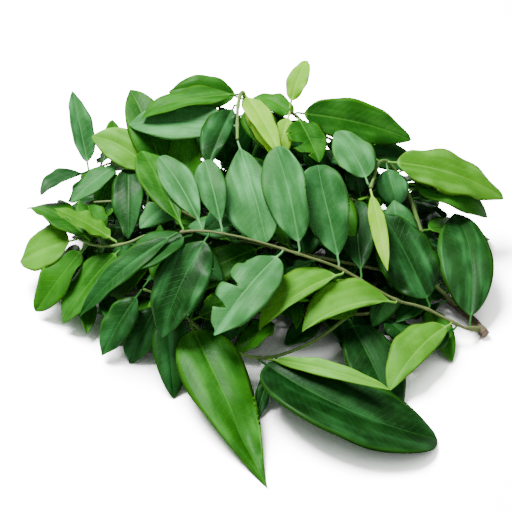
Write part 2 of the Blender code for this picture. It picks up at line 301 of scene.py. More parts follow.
class Neighbours:
    """What stands round a new piece: one collision tree for each solid, found by its box."""

    def __init__(self) -> None:
        self.trees: dict[str, tuple[np.ndarray, np.ndarray, BVHTree]] = {}

    def put(self, name: str, mesh: bmesh.types.BMesh) -> None:
        """Adds a solid, or takes the place of the one with this name."""
        places = np.array([vertex.co for vertex in mesh.verts])
        self.trees[name] = (places.min(axis=0), places.max(axis=0), BVHTree.FromBMesh(mesh))

    def touched(self, places: np.ndarray, ignored: Sequence[str] = ()) -> bool:
        """Says whether a wrapped grid meets any solid but the ignored ones."""
        rows, columns = places.shape[:2]
        flat = places.reshape(-1, 3)
        low, high = flat.min(axis=0), flat.max(axis=0)
        tree = None
        for name, (other_low, other_high, other) in self.trees.items():
            if name in ignored or (low > other_high).any() or (high < other_low).any():
                continue
            tree = tree or BVHTree.FromPolygons(flat.tolist(), wrapped_faces(rows, columns))
            if tree.overlap(other):
                return True
        return False


def cage_of(node: bpy.types.Object) -> bmesh.types.BMesh:
    """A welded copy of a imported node's mesh."""
    mesh = bmesh.new()
    mesh.from_mesh(node.data)
    bmesh.ops.remove_doubles(mesh, verts=mesh.verts, dist=CAGE_WELD)
    return mesh


def peel(first: set, vertices: Sequence) -> list[np.ndarray]:
    """The rings of a lofted mesh, one edge further from the first ring each time.

    Args:
        first: the vertices of one end.
        vertices: all vertices of the mesh.

    Returns:
        The positions of each ring, starting at that end.
    """
    rings = [np.array([vertex.co for vertex in first])]
    seen = set(first)
    edge = set(first)
    while len(seen) < len(vertices):
        edge = {other.other_vert(vertex) for vertex in edge for other in vertex.link_edges} - seen
        if not edge:
            break
        seen |= edge
        rings.append(np.array([vertex.co for vertex in edge]))
    return rings


@dataclass(frozen=True)
class BladeForm:
    """A leaflet's bent sheet, as a track from its joint on the stalk to its tip.

    Each row of values holds a midrib point, the side and up directions, the left and right share of the
    outline's half width in metres, and how far the left rim, left middle, right middle and right rim rise.
    """

    FIELDS = 15
    WIDTHS = slice(9, 11)
    RING_SIZE = 8
    BLADE_START = 1.44 * MM

    stations: np.ndarray
    values: np.ndarray
    length: float

    @staticmethod
    def from_node(node: bpy.types.Object, joint: Callable[[Vector], Vector]) -> "BladeForm":
        """Reads the sheet of a packed leaflet.

        Args:
            node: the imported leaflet.
            joint: finds the point inside its stalk that a petiolule's end grows from.

        Returns:
            The form.
        """
        mesh = cage_of(node)
        places = np.array([vertex.co for vertex in mesh.verts])
        ring_size = BladeForm.RING_SIZE
        apart = np.sort(np.linalg.norm(places[:, None] - places[None], axis=2), axis=1)[:, ring_size - 1]
        mesh.verts.ensure_lookup_table()
        tip = {mesh.verts[int(index)] for index in np.argsort(apart)[:ring_size]}
        rings = peel(tip, mesh.verts)[::-1]
        mesh.free()
        centres = np.array([ring.mean(axis=0) for ring in rings])
        tangents = unit(np.gradient(centres, axis=0))
        rows = [BladeForm.ring_row(ring, tangent) for ring, tangent in zip(rings[2:-1], tangents[2:-1])]
        midrib = np.vstack([centres[:2], [row[:3] for row in rows], centres[-1:]])
        along = np.concatenate([[0.0], np.cumsum(np.linalg.norm(np.diff(midrib, axis=0), axis=1))])
        blade_start = along[1] + BladeForm.BLADE_START
        length = along[-1] - blade_start
        stations = (along - blade_start) / length
        shares = outline(EVEN, stations[2:-1])
        sheet = np.zeros((len(midrib), BladeForm.FIELDS))
        sheet[:, :3] = midrib
        for index, row in enumerate(rows):
            sheet[index + 2, 3:] = row[3:]
            sheet[index + 2, BladeForm.WIDTHS] /= shares[index]
        flat = slice(3, BladeForm.WIDTHS.stop)
        sheet[:2, flat] = sheet[2, flat]
        sheet[-1, flat] = sheet[-2, flat]
        start = np.array(joint(Vector(midrib[0])))
        reach = np.linalg.norm(start - midrib[0])
        stations = np.concatenate([[stations[0] - reach / length], stations])
        sheet = np.vstack([sheet[:1], sheet])
        sheet[0, :3] = start
        return BladeForm(stations, sheet, float(length))

    @staticmethod
    def ring_row(ring: np.ndarray, tangent: np.ndarray) -> np.ndarray:
        """The track values of one ring of eight points round a flat section."""
        apart = np.linalg.norm(ring[:, None] - ring[None], axis=2)
        first, second = np.unravel_index(apart.argmax(), apart.shape)
        side = unit(ring[first] - ring[second])
        if side @ np.cross(tangent, UP) < 0:
            side = -side
        up = unit(np.cross(side, tangent))
        order = ring[np.argsort(ring @ side)]
        left, right = order[0], order[-1]
        middles = [order[1 + 2 * pair:3 + 2 * pair].mean(axis=0) for pair in range(3)]
        centre = middles[1]
        lifts = [(point - centre) @ up for point in (left, middles[0], middles[2], right)]
        return np.concatenate([centre, side, up, [(centre - left) @ side, (right - centre) @ side], lifts])


def bent_frame(habit: Habit, station: np.ndarray, read: np.ndarray) -> tuple[np.ndarray, ...]:
    """Bends a blade's midrib and its directions as its habit says.

    Args:
        habit: the bends.
        station: the rows' stations.
        read: the track read at those stations.

    Returns:
        Midrib points, sides and ups, one row for each station.
    """
    grown = np.clip(station, 0.0, 1.0)
    side, up = unit(read[:, 3:6]), unit(read[:, 6:9])
    down = np.radians(habit.tip_bend) * smoothstep(habit.bend_from, 1.0, grown)
    sideways = np.radians(habit.sweep) * grown
    steps = np.diff(read[:, :3], axis=0)
    steps[station[1:] > 0] *= habit.stretch
    middle = slice(0, -1)
    steps = turned_about(steps, side[middle], -down[middle])
    steps = turned_about(steps, up[middle], sideways[middle])
    centre = np.vstack([read[:1, :3], read[:1, :3] + np.cumsum(steps, axis=0)])
    up = turned_about(up, side, -down)
    side = turned_about(side, up, sideways)
    twist = np.radians(habit.twist) * (grown - UNTWISTED_AT) * smoothstep(0.0, BENDS_FULLY_AT, grown)
    ahead = np.cross(up, side)
    return centre, turned_about(side, ahead, twist), turned_about(up, ahead, twist)


def spread_rows(form: BladeForm, detail: float) -> np.ndarray:
    """Stations of a leaflet's rows: evenly along its petiolule, closer at both ends of its blade."""
    rows = max(BLADE.fewest_rows, round(BLADE.rows * detail))
    stem_rows = max(BLADE.fewest_petiolule_rows, round(BLADE.petiolule_rows * detail))
    turn = np.linspace(0.0, 1.0, rows)
    crowded = (1 - BLADE.even_rows) / 2 * (1 - np.cos(np.pi * turn))
    stalk_stations = np.linspace(form.stations[0], 0.0, stem_rows, endpoint=False)
    return np.concatenate([stalk_stations, BLADE.even_rows * turn + crowded])


def spread_columns(detail: float) -> tuple[np.ndarray, np.ndarray]:
    """Shares across a leaflet, over its upper face and back again, and which face each is on."""
    half = max(BLADE.fewest_half_columns, round(BLADE.columns * detail / 2))
    spread = np.linspace(-1.0, 1.0, half + 1)
    spread = spread * ((1 - BLADE.rim_crowding) + BLADE.rim_crowding * spread**2)
    across = np.concatenate([spread, spread[-2:0:-1]])[None, :]
    face = np.concatenate([[0.0], np.ones(half - 1), [0.0], -np.ones(half - 1)])[None, :]
    return across, face


def blade_width(habit: Habit, u: np.ndarray, left: np.ndarray, swing: np.ndarray) -> np.ndarray:
    """The half width as a share of the widest, with the bites that a ragged right rim has lost."""
    grown = np.clip(u, 0.0, 1.0)
    bites = np.sin(BLADE.wide_bites * grown + 3 * swing)
    bites = bites + BLADE.small_bite_share * np.sin(BLADE.small_bites * grown + swing) - BLADE.whole_rim
    lost = habit.ragged * np.maximum(0.0, bites) * smoothstep(0.15, 0.4, grown) * ~left
    return outline(habit, u) * (1 - lost)


def blade_rise(
    form: BladeForm, habit: Habit, grown: np.ndarray, across_mm: np.ndarray, distance: np.ndarray,
    near: np.ndarray, far: np.ndarray, swing: np.ndarray,
) -> np.ndarray:
    """How far the blade rises beside its midrib: cupped, waved, curled at its rim and quilted by its veins.

    Args:
        form: the even sheet.
        habit: how it wilts and curls.
        grown: stations of the rows.
        across_mm: distance from the midrib in millimetres, below zero on the left.
        distance: the same as a share from 0 to 1.
        near: the rise halfway out.
        far: the rise at the rim.
        swing: where the rim's waves begin.

    Returns:
        The rise in metres.
    """
    rise = distance * (4 * near - far) + distance**2 * (2 * far - 4 * near)
    grip = smoothstep(0.0, 0.15, grown) * (1 - 0.5 * grown) * (1 - smoothstep(0.94, 1.0, grown))
    rise = rise + habit.wave_mm * MM * distance**2 * grip * np.sin(2 * np.pi * habit.waves * grown + swing)
    rise = rise + habit.curl_mm * MM * smoothstep(0.45, 1.0, distance) * grip
    vein = (grown * form.length / MM - BLADE.vein_slant * np.abs(across_mm)) / BLADE.vein_spacing_mm
    puffed = smoothstep(0.04, 0.3, distance) * (1 - smoothstep(0.8, 1.0, distance)) * grip
    return rise + BLADE.quilt * puffed * np.abs(np.sin(np.pi * vein))


def leaf_surface(
    form: BladeForm, habit: Habit, detail: float = 1.0, margin: float = 0.0
) -> tuple[np.ndarray, ...]:
    """Where the skin of a leaflet lies: petiolule, grooved upper face, ribbed underside.

    Args:
        form: the sheet that it follows.
        habit: how it wilts and curls.
        detail: share of the full resolution.
        margin: extra thickness on each face, for a clearance test.

    Returns:
        Positions, and two marks: station, share across and face; then along and across in millimetres.
    """
    station = spread_rows(form, detail)
    across, face = spread_columns(detail)
    read = follow(form.stations, form.values, station)
    centre, side, up = bent_frame(habit, station, read)
    u = station[:, None]
    grown = np.clip(u, 0.0, 1.0)
    left, distance = across < 0, np.abs(across)
    swing = np.where(left, habit.phase_left, habit.phase_right)
    width = blade_width(habit, u, left, swing)
    reach = np.where(left, read[:, 9:10] * habit.left_share, read[:, 10:11] * habit.right_share)
    stalk_share = 1 - smoothstep(0.0, BLADE.petiolule_fades_at, u)
    closing = np.sqrt(np.clip((u - form.stations[0]) / BLADE.joint_rounding, 0.0, 1.0))
    lateral = np.sqrt((reach * width) ** 2 + (BLADE.petiolule_radius * stalk_share * closing) ** 2)
    across_mm = lateral / MM * across
    near = np.where(left, read[:, 12:13], read[:, 13:14])
    far = np.where(left, read[:, 11:12], read[:, 14:15])
    rise = blade_rise(form, habit, grown, across_mm, distance, near, far, swing)
    fold = np.radians(np.where(left, habit.left_fold, habit.right_fold))
    fold = fold * smoothstep(0.0, BENDS_FULLY_AT, grown)
    flat = lateral * across
    out = flat * np.cos(fold) - rise * np.sign(across) * np.sin(fold)
    rise = rise * np.cos(fold) + np.abs(flat) * np.sin(fold)
    tapered = 1 - smoothstep(BLADE.thins_from, 1.0, u) * (1 - BLADE.tip_thickness)
    half_blade = (BLADE.thickness / 2 + margin) * (1 - distance**8) * tapered
    half_stalk = (BLADE.petiolule_radius + margin) * np.sqrt(np.clip(1 - distance**2, 0.0, 1.0)) * closing
    half_depth = half_stalk * stalk_share + half_blade * (1 - stalk_share)
    rib = np.exp(-((lateral / BLADE.rib_width * across) ** 2)) * (1 - BLADE.rib_thinning * grown)
    rib = rib * (1 - stalk_share) * (1 - smoothstep(0.9, 1.0, u))
    relief = np.where(face > 0, -BLADE.groove * rib, np.where(face < 0, -BLADE.ridge * rib, 0.0))
    shut = 1 - smoothstep(BLADE.shuts_from, 1.0, u)
    places = (
        centre[:, None, :]
        + side[:, None, :] * (out * shut)[:, :, None]
        + up[:, None, :] * ((rise + face * half_depth + relief) * shut)[:, :, None]
    )
    whole = np.ones_like(across_mm)
    blade_mark = np.stack([u * whole, across * whole, (face + 1) / 2 * whole], axis=2)
    place_mark = np.stack([u * form.length / MM * whole, across_mm, np.zeros_like(across_mm)], axis=2)
    return places, blade_mark, place_mark


def leaf_skin(form: BladeForm, habit: Habit, nature: Colour, detail: float = 1.0) -> bmesh.types.BMesh:
    """The closed skin of a leaflet with the marks that its finish reads.

    Args:
        form: the sheet that it follows.
        habit: how it wilts and curls.
        nature: paleness, age and the strength of the painted sheen, from 0 to 1, for the finish.
        detail: share of the full resolution.

    Returns:
        The mesh.
    """
    places, blade_mark, place_mark = leaf_surface(form, habit, detail)
    natures = np.broadcast_to(np.array(nature), places.shape)
    return wrapped_skin(places, {"blade": blade_mark, "place_mm": place_mark, "nature": natures})


@lru_cache(maxsize=None)
def wrapped_faces(rows: int, columns: int) -> tuple[tuple[int, ...], ...]:
    """The faces of a wrapped grid, for a clearance test."""
    return tuple(
        (row * columns + column, row * columns + (column + 1) % columns,
         (row + 1) * columns + (column + 1) % columns, (row + 1) * columns + column)
        for row in range(rows - 1) for column in range(columns)
    )


@dataclass(frozen=True)
class Growth:
    """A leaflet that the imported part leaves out: where it leaves its stalk, its midrib and its shape.

    Angles are degrees and lengths millimetres. Heading is the compass heading of the midrib's chord and climb
    its rise; arch bends it down towards the tip, roll lowers its right side, fold lifts both halves.
    """

    stalk: str
    at: float
    heading: float
    climb: float
    length: float
    width: float
    tone: Tone
    arch: float = 20.0
    sway: float = 0.0
    roll: float = 0.0
    fold: float = 14.0
    petiolule: float = 3.6

    def turned(self, heading: float, climb: float, roll: float) -> "Growth":
        """The same leaflet, turned by these angles at its base."""
        return replace(self, heading=self.heading + heading, climb=self.climb + climb, roll=self.roll + roll)


FLOOR_CLEARANCE = 0.5 * MM
FLOOR_SOFTNESS = 2.0 * MM
GROWN_STATIONS = (0.0, 0.05, 0.12, 0.22, 0.34, 0.46, 0.58, 0.70, 0.82, 0.92, 1.0)
FOLD_FLATTENING = 0.45


def compass(heading: float, climb: float) -> Vector:
    """Unit vector with this compass heading and rise, in degrees."""
    heading, climb = math.radians(heading), math.radians(climb)
    return Vector((math.cos(climb) * math.cos(heading), math.cos(climb) * math.sin(heading), math.sin(climb)))


def grown_form(growth: Growth, stalk: "StalkForm") -> BladeForm:
    """The sheet of a leaflet grown from a stalk by its growth numbers.

    Args:
        growth: the leaflet's numbers.
        stalk: the stalk that it leaves.

    Returns:
        The form, kept above the floor.
    """
    joint, _, radius = stalk.at(growth.at)
    length = growth.length * MM
    first = compass(growth.heading - growth.sway / 2, growth.climb + growth.arch / 2)
    petiolule = growth.petiolule * MM
    start = joint + first * (petiolule + radius)
    stations = [-(petiolule + radius) / length, -0.5 * petiolule / length, *GROWN_STATIONS]
    points = [joint, start - first * petiolule * 0.5]
    point = start.copy()
    directions = []
    for station, following in zip(GROWN_STATIONS, [*GROWN_STATIONS[1:], 1.0]):
        heading = growth.heading + growth.sway * (station - 0.5)
        climb = growth.climb + growth.arch * (0.5 - station)
        direction = compass(heading, climb)
        points.append(point.copy())
        directions.append(direction)
        point += direction * (following - station) * length
        low = FLOOR_CLEARANCE + FLOOR_SOFTNESS
        if point.z < low:
            point.z = FLOOR_CLEARANCE + FLOOR_SOFTNESS * math.exp((point.z - low) / FLOOR_SOFTNESS)
    rows = []
    fold = math.tan(math.radians(growth.fold))
    for index, (station, place) in enumerate(zip(stations, points)):
        direction = directions[max(0, index - 2)]
        side = direction.cross(UP).normalized()
        side = Matrix.Rotation(math.radians(growth.roll), 3, direction) @ side
        up = side.cross(direction)
        reach = growth.width * MM / 2
        width = reach * float(outline(EVEN, np.array(station)))
        rim, middle = width * fold * (1 - FOLD_FLATTENING), width / 2 * fold * (1 - FOLD_FLATTENING / 2)
        rows.append([*place, *side, *up, reach, reach, rim, middle, middle, rim])
    return BladeForm(np.array(stations), np.array(rows), length)


@dataclass(frozen=True)
class StalkForm:
    """A stalk's centreline and radii, from base to tip."""

    CAP_EDGE = 5.0 * MM
    FINENESS = 161
    ROOT_FLARE = 1.05

    points: np.ndarray
    radii: np.ndarray

    @staticmethod
    def from_node(node: bpy.types.Object) -> "StalkForm":
        """Reads the centreline of a packed stalk, from its thicker end."""
        mesh = cage_of(node)
        cap_edge = StalkForm.CAP_EDGE
        caps = [face for face in mesh.faces if max(edge.calc_length() for edge in face.edges) < cap_edge]
        first = set(caps[0].verts)
        grown = True
        while grown:
            near = {vertex for face in caps if first & set(face.verts) for vertex in face.verts}
            grown = bool(near - first)
            first |= near
        rings = peel(first, mesh.verts)
        mesh.free()
        centres = np.array([ring.mean(axis=0) for ring in rings])
        radii = np.array([np.linalg.norm(ring - ring.mean(axis=0), axis=1).mean() for ring in rings])
        backwards = radii[0] < radii[-1]
        return StalkForm(centres[::-1], radii[::-1]) if backwards else StalkForm(centres, radii)

    def along(self) -> np.ndarray:
        """Distance of each point from the base."""
        return np.concatenate([[0.0], np.cumsum(np.linalg.norm(np.diff(self.points, axis=0), axis=1))])

    def at(self, station: float) -> tuple[Vector, Vector, float]:
        """Point, direction and radius at a station from 0, the base, to 1, the tip."""
        along = self.along()
        wanted = np.array([station, min(1.0, station + 0.01), max(0.0, station - 0.01)]) * along[-1]
        read = follow(along, np.hstack([self.points, self.radii[:, None]]), wanted)
        return Vector(read[0, :3]), Vector(unit(read[1, :3] - read[2, :3])), float(read[0, 3])

    def nearest(self, place: Vector) -> tuple[Vector, float]:
        """The nearest point of the centreline and its station."""
        along = self.along()
        stations = np.linspace(0.0, 1.0, self.FINENESS)
        read = follow(along, self.points, stations * along[-1])
        index = int(np.linalg.norm(read - np.array(place), axis=1).argmin())
        return Vector(read[index]), float(stations[index])

    def rooted(self, parent: "StalkForm") -> "StalkForm":
        """The same stalk, its base grown into its parent."""
        joint = np.array(parent.nearest(Vector(self.points[0]))[0])
        radii = np.concatenate([[self.radii[0] * self.ROOT_FLARE], self.radii])
        return StalkForm(np.vstack([joint, self.points]), radii)


@dataclass(frozen=True)
class StalkShape:
    """Measures that all stalks share."""

    columns: int = 16
    fewest_rows: int = 8
    spacing: float = 0.9 * MM
    ridges: int = 5
    ridge_depth: float = 0.06
    ridge_turn_per_mm: float = 0.03
    wobble: float = 0.05
    wobble_per_mm: tuple[float, float] = (0.9, 0.37)
    slimness: float = 0.86
    node_swelling: float = 0.22 * MM
    node_length: float = 1.4 * MM
    end_rounding: float = 0.8 * MM
    cut_rings: tuple[float, ...] = (0.0, 0.35, 0.7, 0.93)
    cut_depth: float = 0.12 * MM


STALK = StalkShape()


def stalk_skin(form: StalkForm, joints: Sequence[float], nature: Colour, cut: bool) -> bmesh.types.BMesh:
    """The closed skin of a stalk, ridged and swollen where a leaflet leaves it.

    Args:
        form: its centreline and radii.
        joints: stations where something leaves it.
        nature: one number that sets the stalk apart, then its greenness and wear, from 0 to 1.
        cut: whether its base is a cut face.

    Returns:
        The mesh with the marks that the finish reads.
    """
    along = form.along()
    rows = max(STALK.fewest_rows, round(along[-1] / STALK.spacing))
    wanted = np.linspace(0.0, along[-1], rows)
    read = follow(along, np.hstack([form.points, form.radii[:, None]]), wanted)
    centres, radii = read[:, :3], read[:, 3] * STALK.slimness
    for joint in joints:
        radii += STALK.node_swelling * np.exp(-(((wanted - joint * along[-1]) / STALK.node_length) ** 2))
    tangents = unit(np.gradient(centres, axis=0))
    sides = np.zeros_like(tangents)
    side = unit(np.cross(tangents[0], UP))
    for index, tangent in enumerate(tangents):
        side = unit(side - tangent * (side @ tangent))
        sides[index] = side
    ups = np.cross(sides, tangents)
    angle = np.linspace(0.0, 2 * np.pi, STALK.columns, endpoint=False)[None, :]
    place = wanted[:, None] / MM
    ring = 1 + STALK.ridge_depth * np.cos(STALK.ridges * angle + STALK.ridge_turn_per_mm * place)
    quick, slow = STALK.wobble_per_mm
    ring = ring + STALK.wobble * np.sin(quick * place + 2 * angle) * np.sin(slow * place)
    end = np.clip((along[-1] - wanted) / STALK.end_rounding, 0.0, 1.0)
    shrink = np.sqrt(1 - (1 - end) ** 2)
    thickness = (radii * shrink)[:, None] * ring
    if cut:
        face = np.array(STALK.cut_rings)
        thickness = np.vstack([thickness[:1] * share for share in face] + [thickness])
        sunk = (STALK.cut_depth * (1 - face**4))[:, None] * tangents[:1]
        centres = np.vstack([centres[:1] + sunk, centres])
        sides = np.vstack([np.repeat(sides[:1], len(face), axis=0), sides])
        ups = np.vstack([np.repeat(ups[:1], len(face), axis=0), ups])
        ends = np.concatenate([1 - face * 0.3, np.zeros(rows)])
        place = np.vstack([np.zeros((len(face), 1)), place])
    else:
        thickness[0] = 0.0
        ends = np.zeros(rows)
    thickness[-1] = 0.0
    places = (
        centres[:, None, :]
        + sides[:, None, :] * (thickness * np.cos(angle))[:, :, None]
        + ups[:, None, :] * (thickness * np.sin(angle))[:, :, None]
    )
    whole = np.ones_like(thickness)
    marks = {
        "stalk": np.stack([place * whole, np.cos(angle) * whole, np.sin(angle) * whole], axis=2),
        "cut_face": np.stack([ends[:, None] * whole, thickness / MM, whole], axis=2),
        "nature": np.broadcast_to(np.array(nature), (*whole.shape, 3)),
    }
    return wrapped_skin(places, marks)


class Board:
    """Adds shader nodes to one material and joins them."""

    def __init__(self, name: str) -> None:
        self.material = bpy.data.materials.new(name)
        self.material.use_nodes = True
        self.tree = self.material.node_tree
        self.tree.nodes.clear()

    def add(self, kind: str, inputs: dict, **settings) -> bpy.types.Node:
        """Adds a node.

        Args:
            kind: the node's type name after "ShaderNode".
            inputs: a value, colour or output socket for each input.
            **settings: the node's properties.

        Returns:
            The node.
        """
        node = self.tree.nodes.new("ShaderNode" + kind)
        for name, value in settings.items():
            setattr(node, name, value)
        for key, value in inputs.items():
            socket = node.inputs[key]
            if isinstance(value, Socket):
                self.tree.links.new(value, socket)
            elif socket.type == "RGBA":
                socket.default_value = (*value, 1.0)
            else:
                socket.default_value = value
        return node

    def math(self, operation: str, first: Number, second: Number = 0.0, clamp: bool = False) -> Socket:
        """One step of arithmetic."""
        return self.add("Math", {0: first, 1: second}, operation=operation, use_clamp=clamp).outputs[0]

    def mix(self, share: Number, first: Paint, second: Paint) -> Socket:
        """A mix of two colours."""
        return self.add("Mix", {0: share, 6: first, 7: second}, data_type="RGBA").outputs[2]

    def rise(self, value: Number, low: float, high: float, bottom: float = 0.0, top: float = 1.0) -> Socket:
        """A smooth rise from bottom to top as the value goes from low to high."""
        inputs = {"Value": value, "From Min": low, "From Max": high, "To Min": bottom, "To Max": top}
        return self.add("MapRange", inputs, interpolation_type="SMOOTHSTEP").outputs["Result"]

    def mark(self, name: str) -> bpy.types.Node:
        """A named mark of the mesh, split in three."""
        vector = self.add("Attribute", {}, attribute_type="GEOMETRY", attribute_name=name).outputs["Vector"]
        return self.add("SeparateXYZ", {0: vector})

    def place(self) -> Socket:
        """Object coordinates."""
        return self.add("TexCoord", {}).outputs["Object"]

    def noise(self, vector: Socket, scale: float, detail: float = 3.0, rough: float = 0.5) -> Socket:
        """Smooth noise from 0 to 1."""
        inputs = {"Vector": vector, "Scale": scale, "Detail": detail, "Roughness": rough}
        return self.add("TexNoise", inputs).outputs["Fac"]

    def finish(self, shader: Socket) -> bpy.types.Material:
        """Joins the shader to the output."""
        self.add("OutputMaterial", {"Surface": shader})
        return self.material


def leaf_material(tone: Tone) -> bpy.types.Material:
    """Leaf skin: mottled between painted-shade and painted-light colours and darker towards the base, veined,
    paler below and at its rim, with streaks of painted sheen, letting a little light through.
    """
    finish = LEAF_FINISHES[tone]
    board = Board(tone.value)
    blade, spot, nature = board.mark("blade"), board.mark("place_mm"), board.mark("nature")
    u, v, upper = blade.outputs
    x_mm, y_mm, _ = spot.outputs
    paleness, age, painted_sheen = nature.outputs
    place = board.place()
    from_rib = board.math("ABSOLUTE", y_mm)
    share = board.math("ABSOLUTE", v)
    in_blade = board.rise(u, 0.0, 0.04)
    cloud = board.noise(place, 95.0, 3.0, 0.55)
    broad = board.noise(place, 26.0, 2.0, 0.5)
    grain = board.noise(place, 1900.0, 2.0, 0.6)
    rib_width = board.rise(u, 0.0, 0.9, 0.42, 0.13)
    rib = board.math("SUBTRACT", 1.0, board.rise(board.math("DIVIDE", from_rib, rib_width), 0.4, 1.5))
    wobble = board.math("MULTIPLY", board.noise(place, 260.0, 1.0), 0.42)
    phase = board.math("SUBTRACT", x_mm, board.math("MULTIPLY", from_rib, BLADE.vein_slant))
    phase = board.math("ADD", board.math("DIVIDE", phase, BLADE.vein_spacing_mm), wobble)
    turn = board.math("FRACT", board.math("ADD", phase, 0.5))
    away = board.math("ABSOLUTE", board.math("SUBTRACT", turn, 0.5))
    vein = board.math("SUBTRACT", 1.0, board.rise(away, 0.012, 0.085))
    vein = board.math("MULTIPLY", vein, board.math("SUBTRACT", 1.0, board.rise(share, 0.62, 0.95)))
    vein = board.math("MULTIPLY", vein, in_blade)
    flat = board.add("CombineXYZ", {0: x_mm, 1: y_mm, 2: upper}).outputs[0]
    meshes = board.add("TexVoronoi", {"Vector": flat, "Scale": 1.25}, feature="DISTANCE_TO_EDGE")
    net = board.math("SUBTRACT", 1.0, board.rise(meshes.outputs["Distance"], 0.01, 0.16))
    # The colour runs from the painted-shade colour to the painted-light colour: in random cloudy patches, by
    # each leaf's paleness, and darker towards the base.
    pale = board.math("MULTIPLY", paleness, 0.62)
    blend = board.math("ADD", board.rise(cloud, 0.30, 0.72, 0.0, 0.40), pale)
    blend = board.math("MULTIPLY", blend, board.rise(broad, 0.25, 0.75, 0.60, 1.15))
    blend = board.math("MULTIPLY", blend, board.rise(u, -0.05, 0.55, 0.45, 1.0), clamp=True)
    colour = board.mix(blend, finish.shade, finish.light)
    colour = board.mix(board.math("MULTIPLY", net, 0.08), colour, finish.vein)
    colour = board.mix(board.math("MULTIPLY", vein, 0.09), colour, finish.vein)
    colour = board.mix(board.math("MULTIPLY", rib, 0.42), colour, finish.vein)
    yellowed = board.math("MULTIPLY", board.rise(share, 0.80, 1.0), board.rise(age, 0.0, 1.0, 0.35, 0.85))
    colour = board.mix(yellowed, colour, finish.rim)
    flecks = board.rise(board.noise(place, 520.0, 2.0, 0.7), 0.70, 0.78)
    flecks = board.math("MULTIPLY", flecks, board.math("MULTIPLY", age, 0.55))
    colour = board.mix(flecks, colour, (0.16, 0.11, 0.03))
    below = board.math("SUBTRACT", 1.0, board.rise(upper, 0.2, 0.6))
    colour = board.mix(board.math("MULTIPLY", below, 0.72), colour, finish.under)
    # Painted sheen: pale streaks along the blade, strongest in cloudy patches, pull the colour towards the
    # pale sheen colour as far as each leaf's sheen strength allows.
    streak_place = board.add("CombineXYZ", {
        0: board.math("MULTIPLY", x_mm, 0.035), 1: board.math("MULTIPLY", y_mm, 0.20),
        2: board.math("MULTIPLY", paleness, 40.0)}).outputs[0]
    streaks = board.rise(board.noise(streak_place, 1.0, 2.0, 0.5), 0.42, 0.74)
    sheen_patches = board.math("MULTIPLY", streaks, board.rise(cloud, 0.20, 0.70, 0.3, 1.0))
    sheen_strength = board.math("MULTIPLY", in_blade, board.rise(painted_sheen, 0.0, 1.0, 0.25, 0.75))
    colour = board.mix(board.math("MULTIPLY", sheen_patches, sheen_strength), colour, finish.painted_sheen)
    stem_part = board.math("SUBTRACT", 1.0, in_blade)
    colour = board.mix(board.math("MULTIPLY", stem_part, 0.8), colour, finish.vein)
    relief = board.math("ADD", board.math("MULTIPLY", vein, -0.5), board.math("MULTIPLY", net, -0.22))
    relief = board.math("ADD", relief, board.math("MULTIPLY", grain, 0.30))
    relief = board.math("ADD", relief, board.math("MULTIPLY", cloud, 1.2))
    bump = board.add("Bump", {"Height": relief, "Strength": 0.55, "Distance": 0.00022}).outputs["Normal"]
    roughness = board.math("ADD", board.rise(cloud, 0.3, 0.7, -0.06, 0.08), finish.roughness)
    roughness = board.math("ADD", roughness, board.math("MULTIPLY", below, 0.18))
    roughness = board.math("ADD", roughness, board.math("MULTIPLY", grain, 0.06))
    skin = board.add("BsdfPrincipled", {
        "Base Color": colour, "Roughness": roughness, "Normal": bump, "Coat Weight": finish.coat,
        "Coat Roughness": 0.22, "IOR": 1.42, "Specular IOR Level": 0.20, "Specular Tint": (0.55, 1.0, 0.55),
    })
    glow = board.mix(0.45, colour, finish.glow)
    through = board.add("BsdfTranslucent", {"Color": glow, "Normal": bump})
    both = board.add("MixShader", {0: finish.let_through, 1: skin.outputs[0], 2: through.outputs[0]})
    return board.finish(both.outputs[0])


def stalk_material(bark: Bark) -> bpy.types.Material:
    """Stalk skin: long fibres, pale pores and a green flush, with a pale cut face."""
    finish = STALK_FINISHES[bark]
    board = Board(bark.value)
    stalk, cut, nature = board.mark("stalk"), board.mark("cut_face"), board.mark("nature")
    along, ring_x, ring_y = stalk.outputs
    green = nature.outputs[1]
    place = board.place()
    slow = board.math("MULTIPLY", along, 0.16)
    fibre_place = board.add("CombineXYZ", {0: ring_x, 1: ring_y, 2: slow}).outputs[0]
    fibre = board.noise(fibre_place, 3.2, 4.0, 0.6)
    cloud = board.noise(place, 120.0, 3.0, 0.55)
    pores = board.add("TexVoronoi", {"Vector": place, "Scale": 620.0}).outputs["Distance"]
    pores = board.math("SUBTRACT", 1.0, board.rise(pores, 0.10, 0.26))
    colour = board.mix(board.rise(fibre, 0.32, 0.68), finish.dark, finish.pale)
    greened = board.math("MULTIPLY", green, board.rise(cloud, 0.25, 0.75, 0.55, 1.0))
    colour = board.mix(greened, colour, finish.green)
    colour = board.mix(board.math("MULTIPLY", pores, 0.45), colour, finish.pale)
    colour = board.mix(board.math("MULTIPLY", cut.outputs[0], 0.85), colour, (0.42, 0.30, 0.20))
    relief = board.math("ADD", board.math("MULTIPLY", fibre, 1.0), board.math("MULTIPLY", pores, 0.5))
    relief = board.math("ADD", relief, board.math("MULTIPLY", cloud, 0.6))
    bump = board.add("Bump", {"Height": relief, "Strength": finish.grain, "Distance": 0.0005})
    roughness = board.math("ADD", board.rise(fibre, 0.3, 0.7, -0.08, 0.10), finish.roughness)
    skin = board.add("BsdfPrincipled", {
        "Base Color": colour, "Roughness": roughness, "Normal": bump.outputs["Normal"]})
    return board.finish(skin.outputs[0])


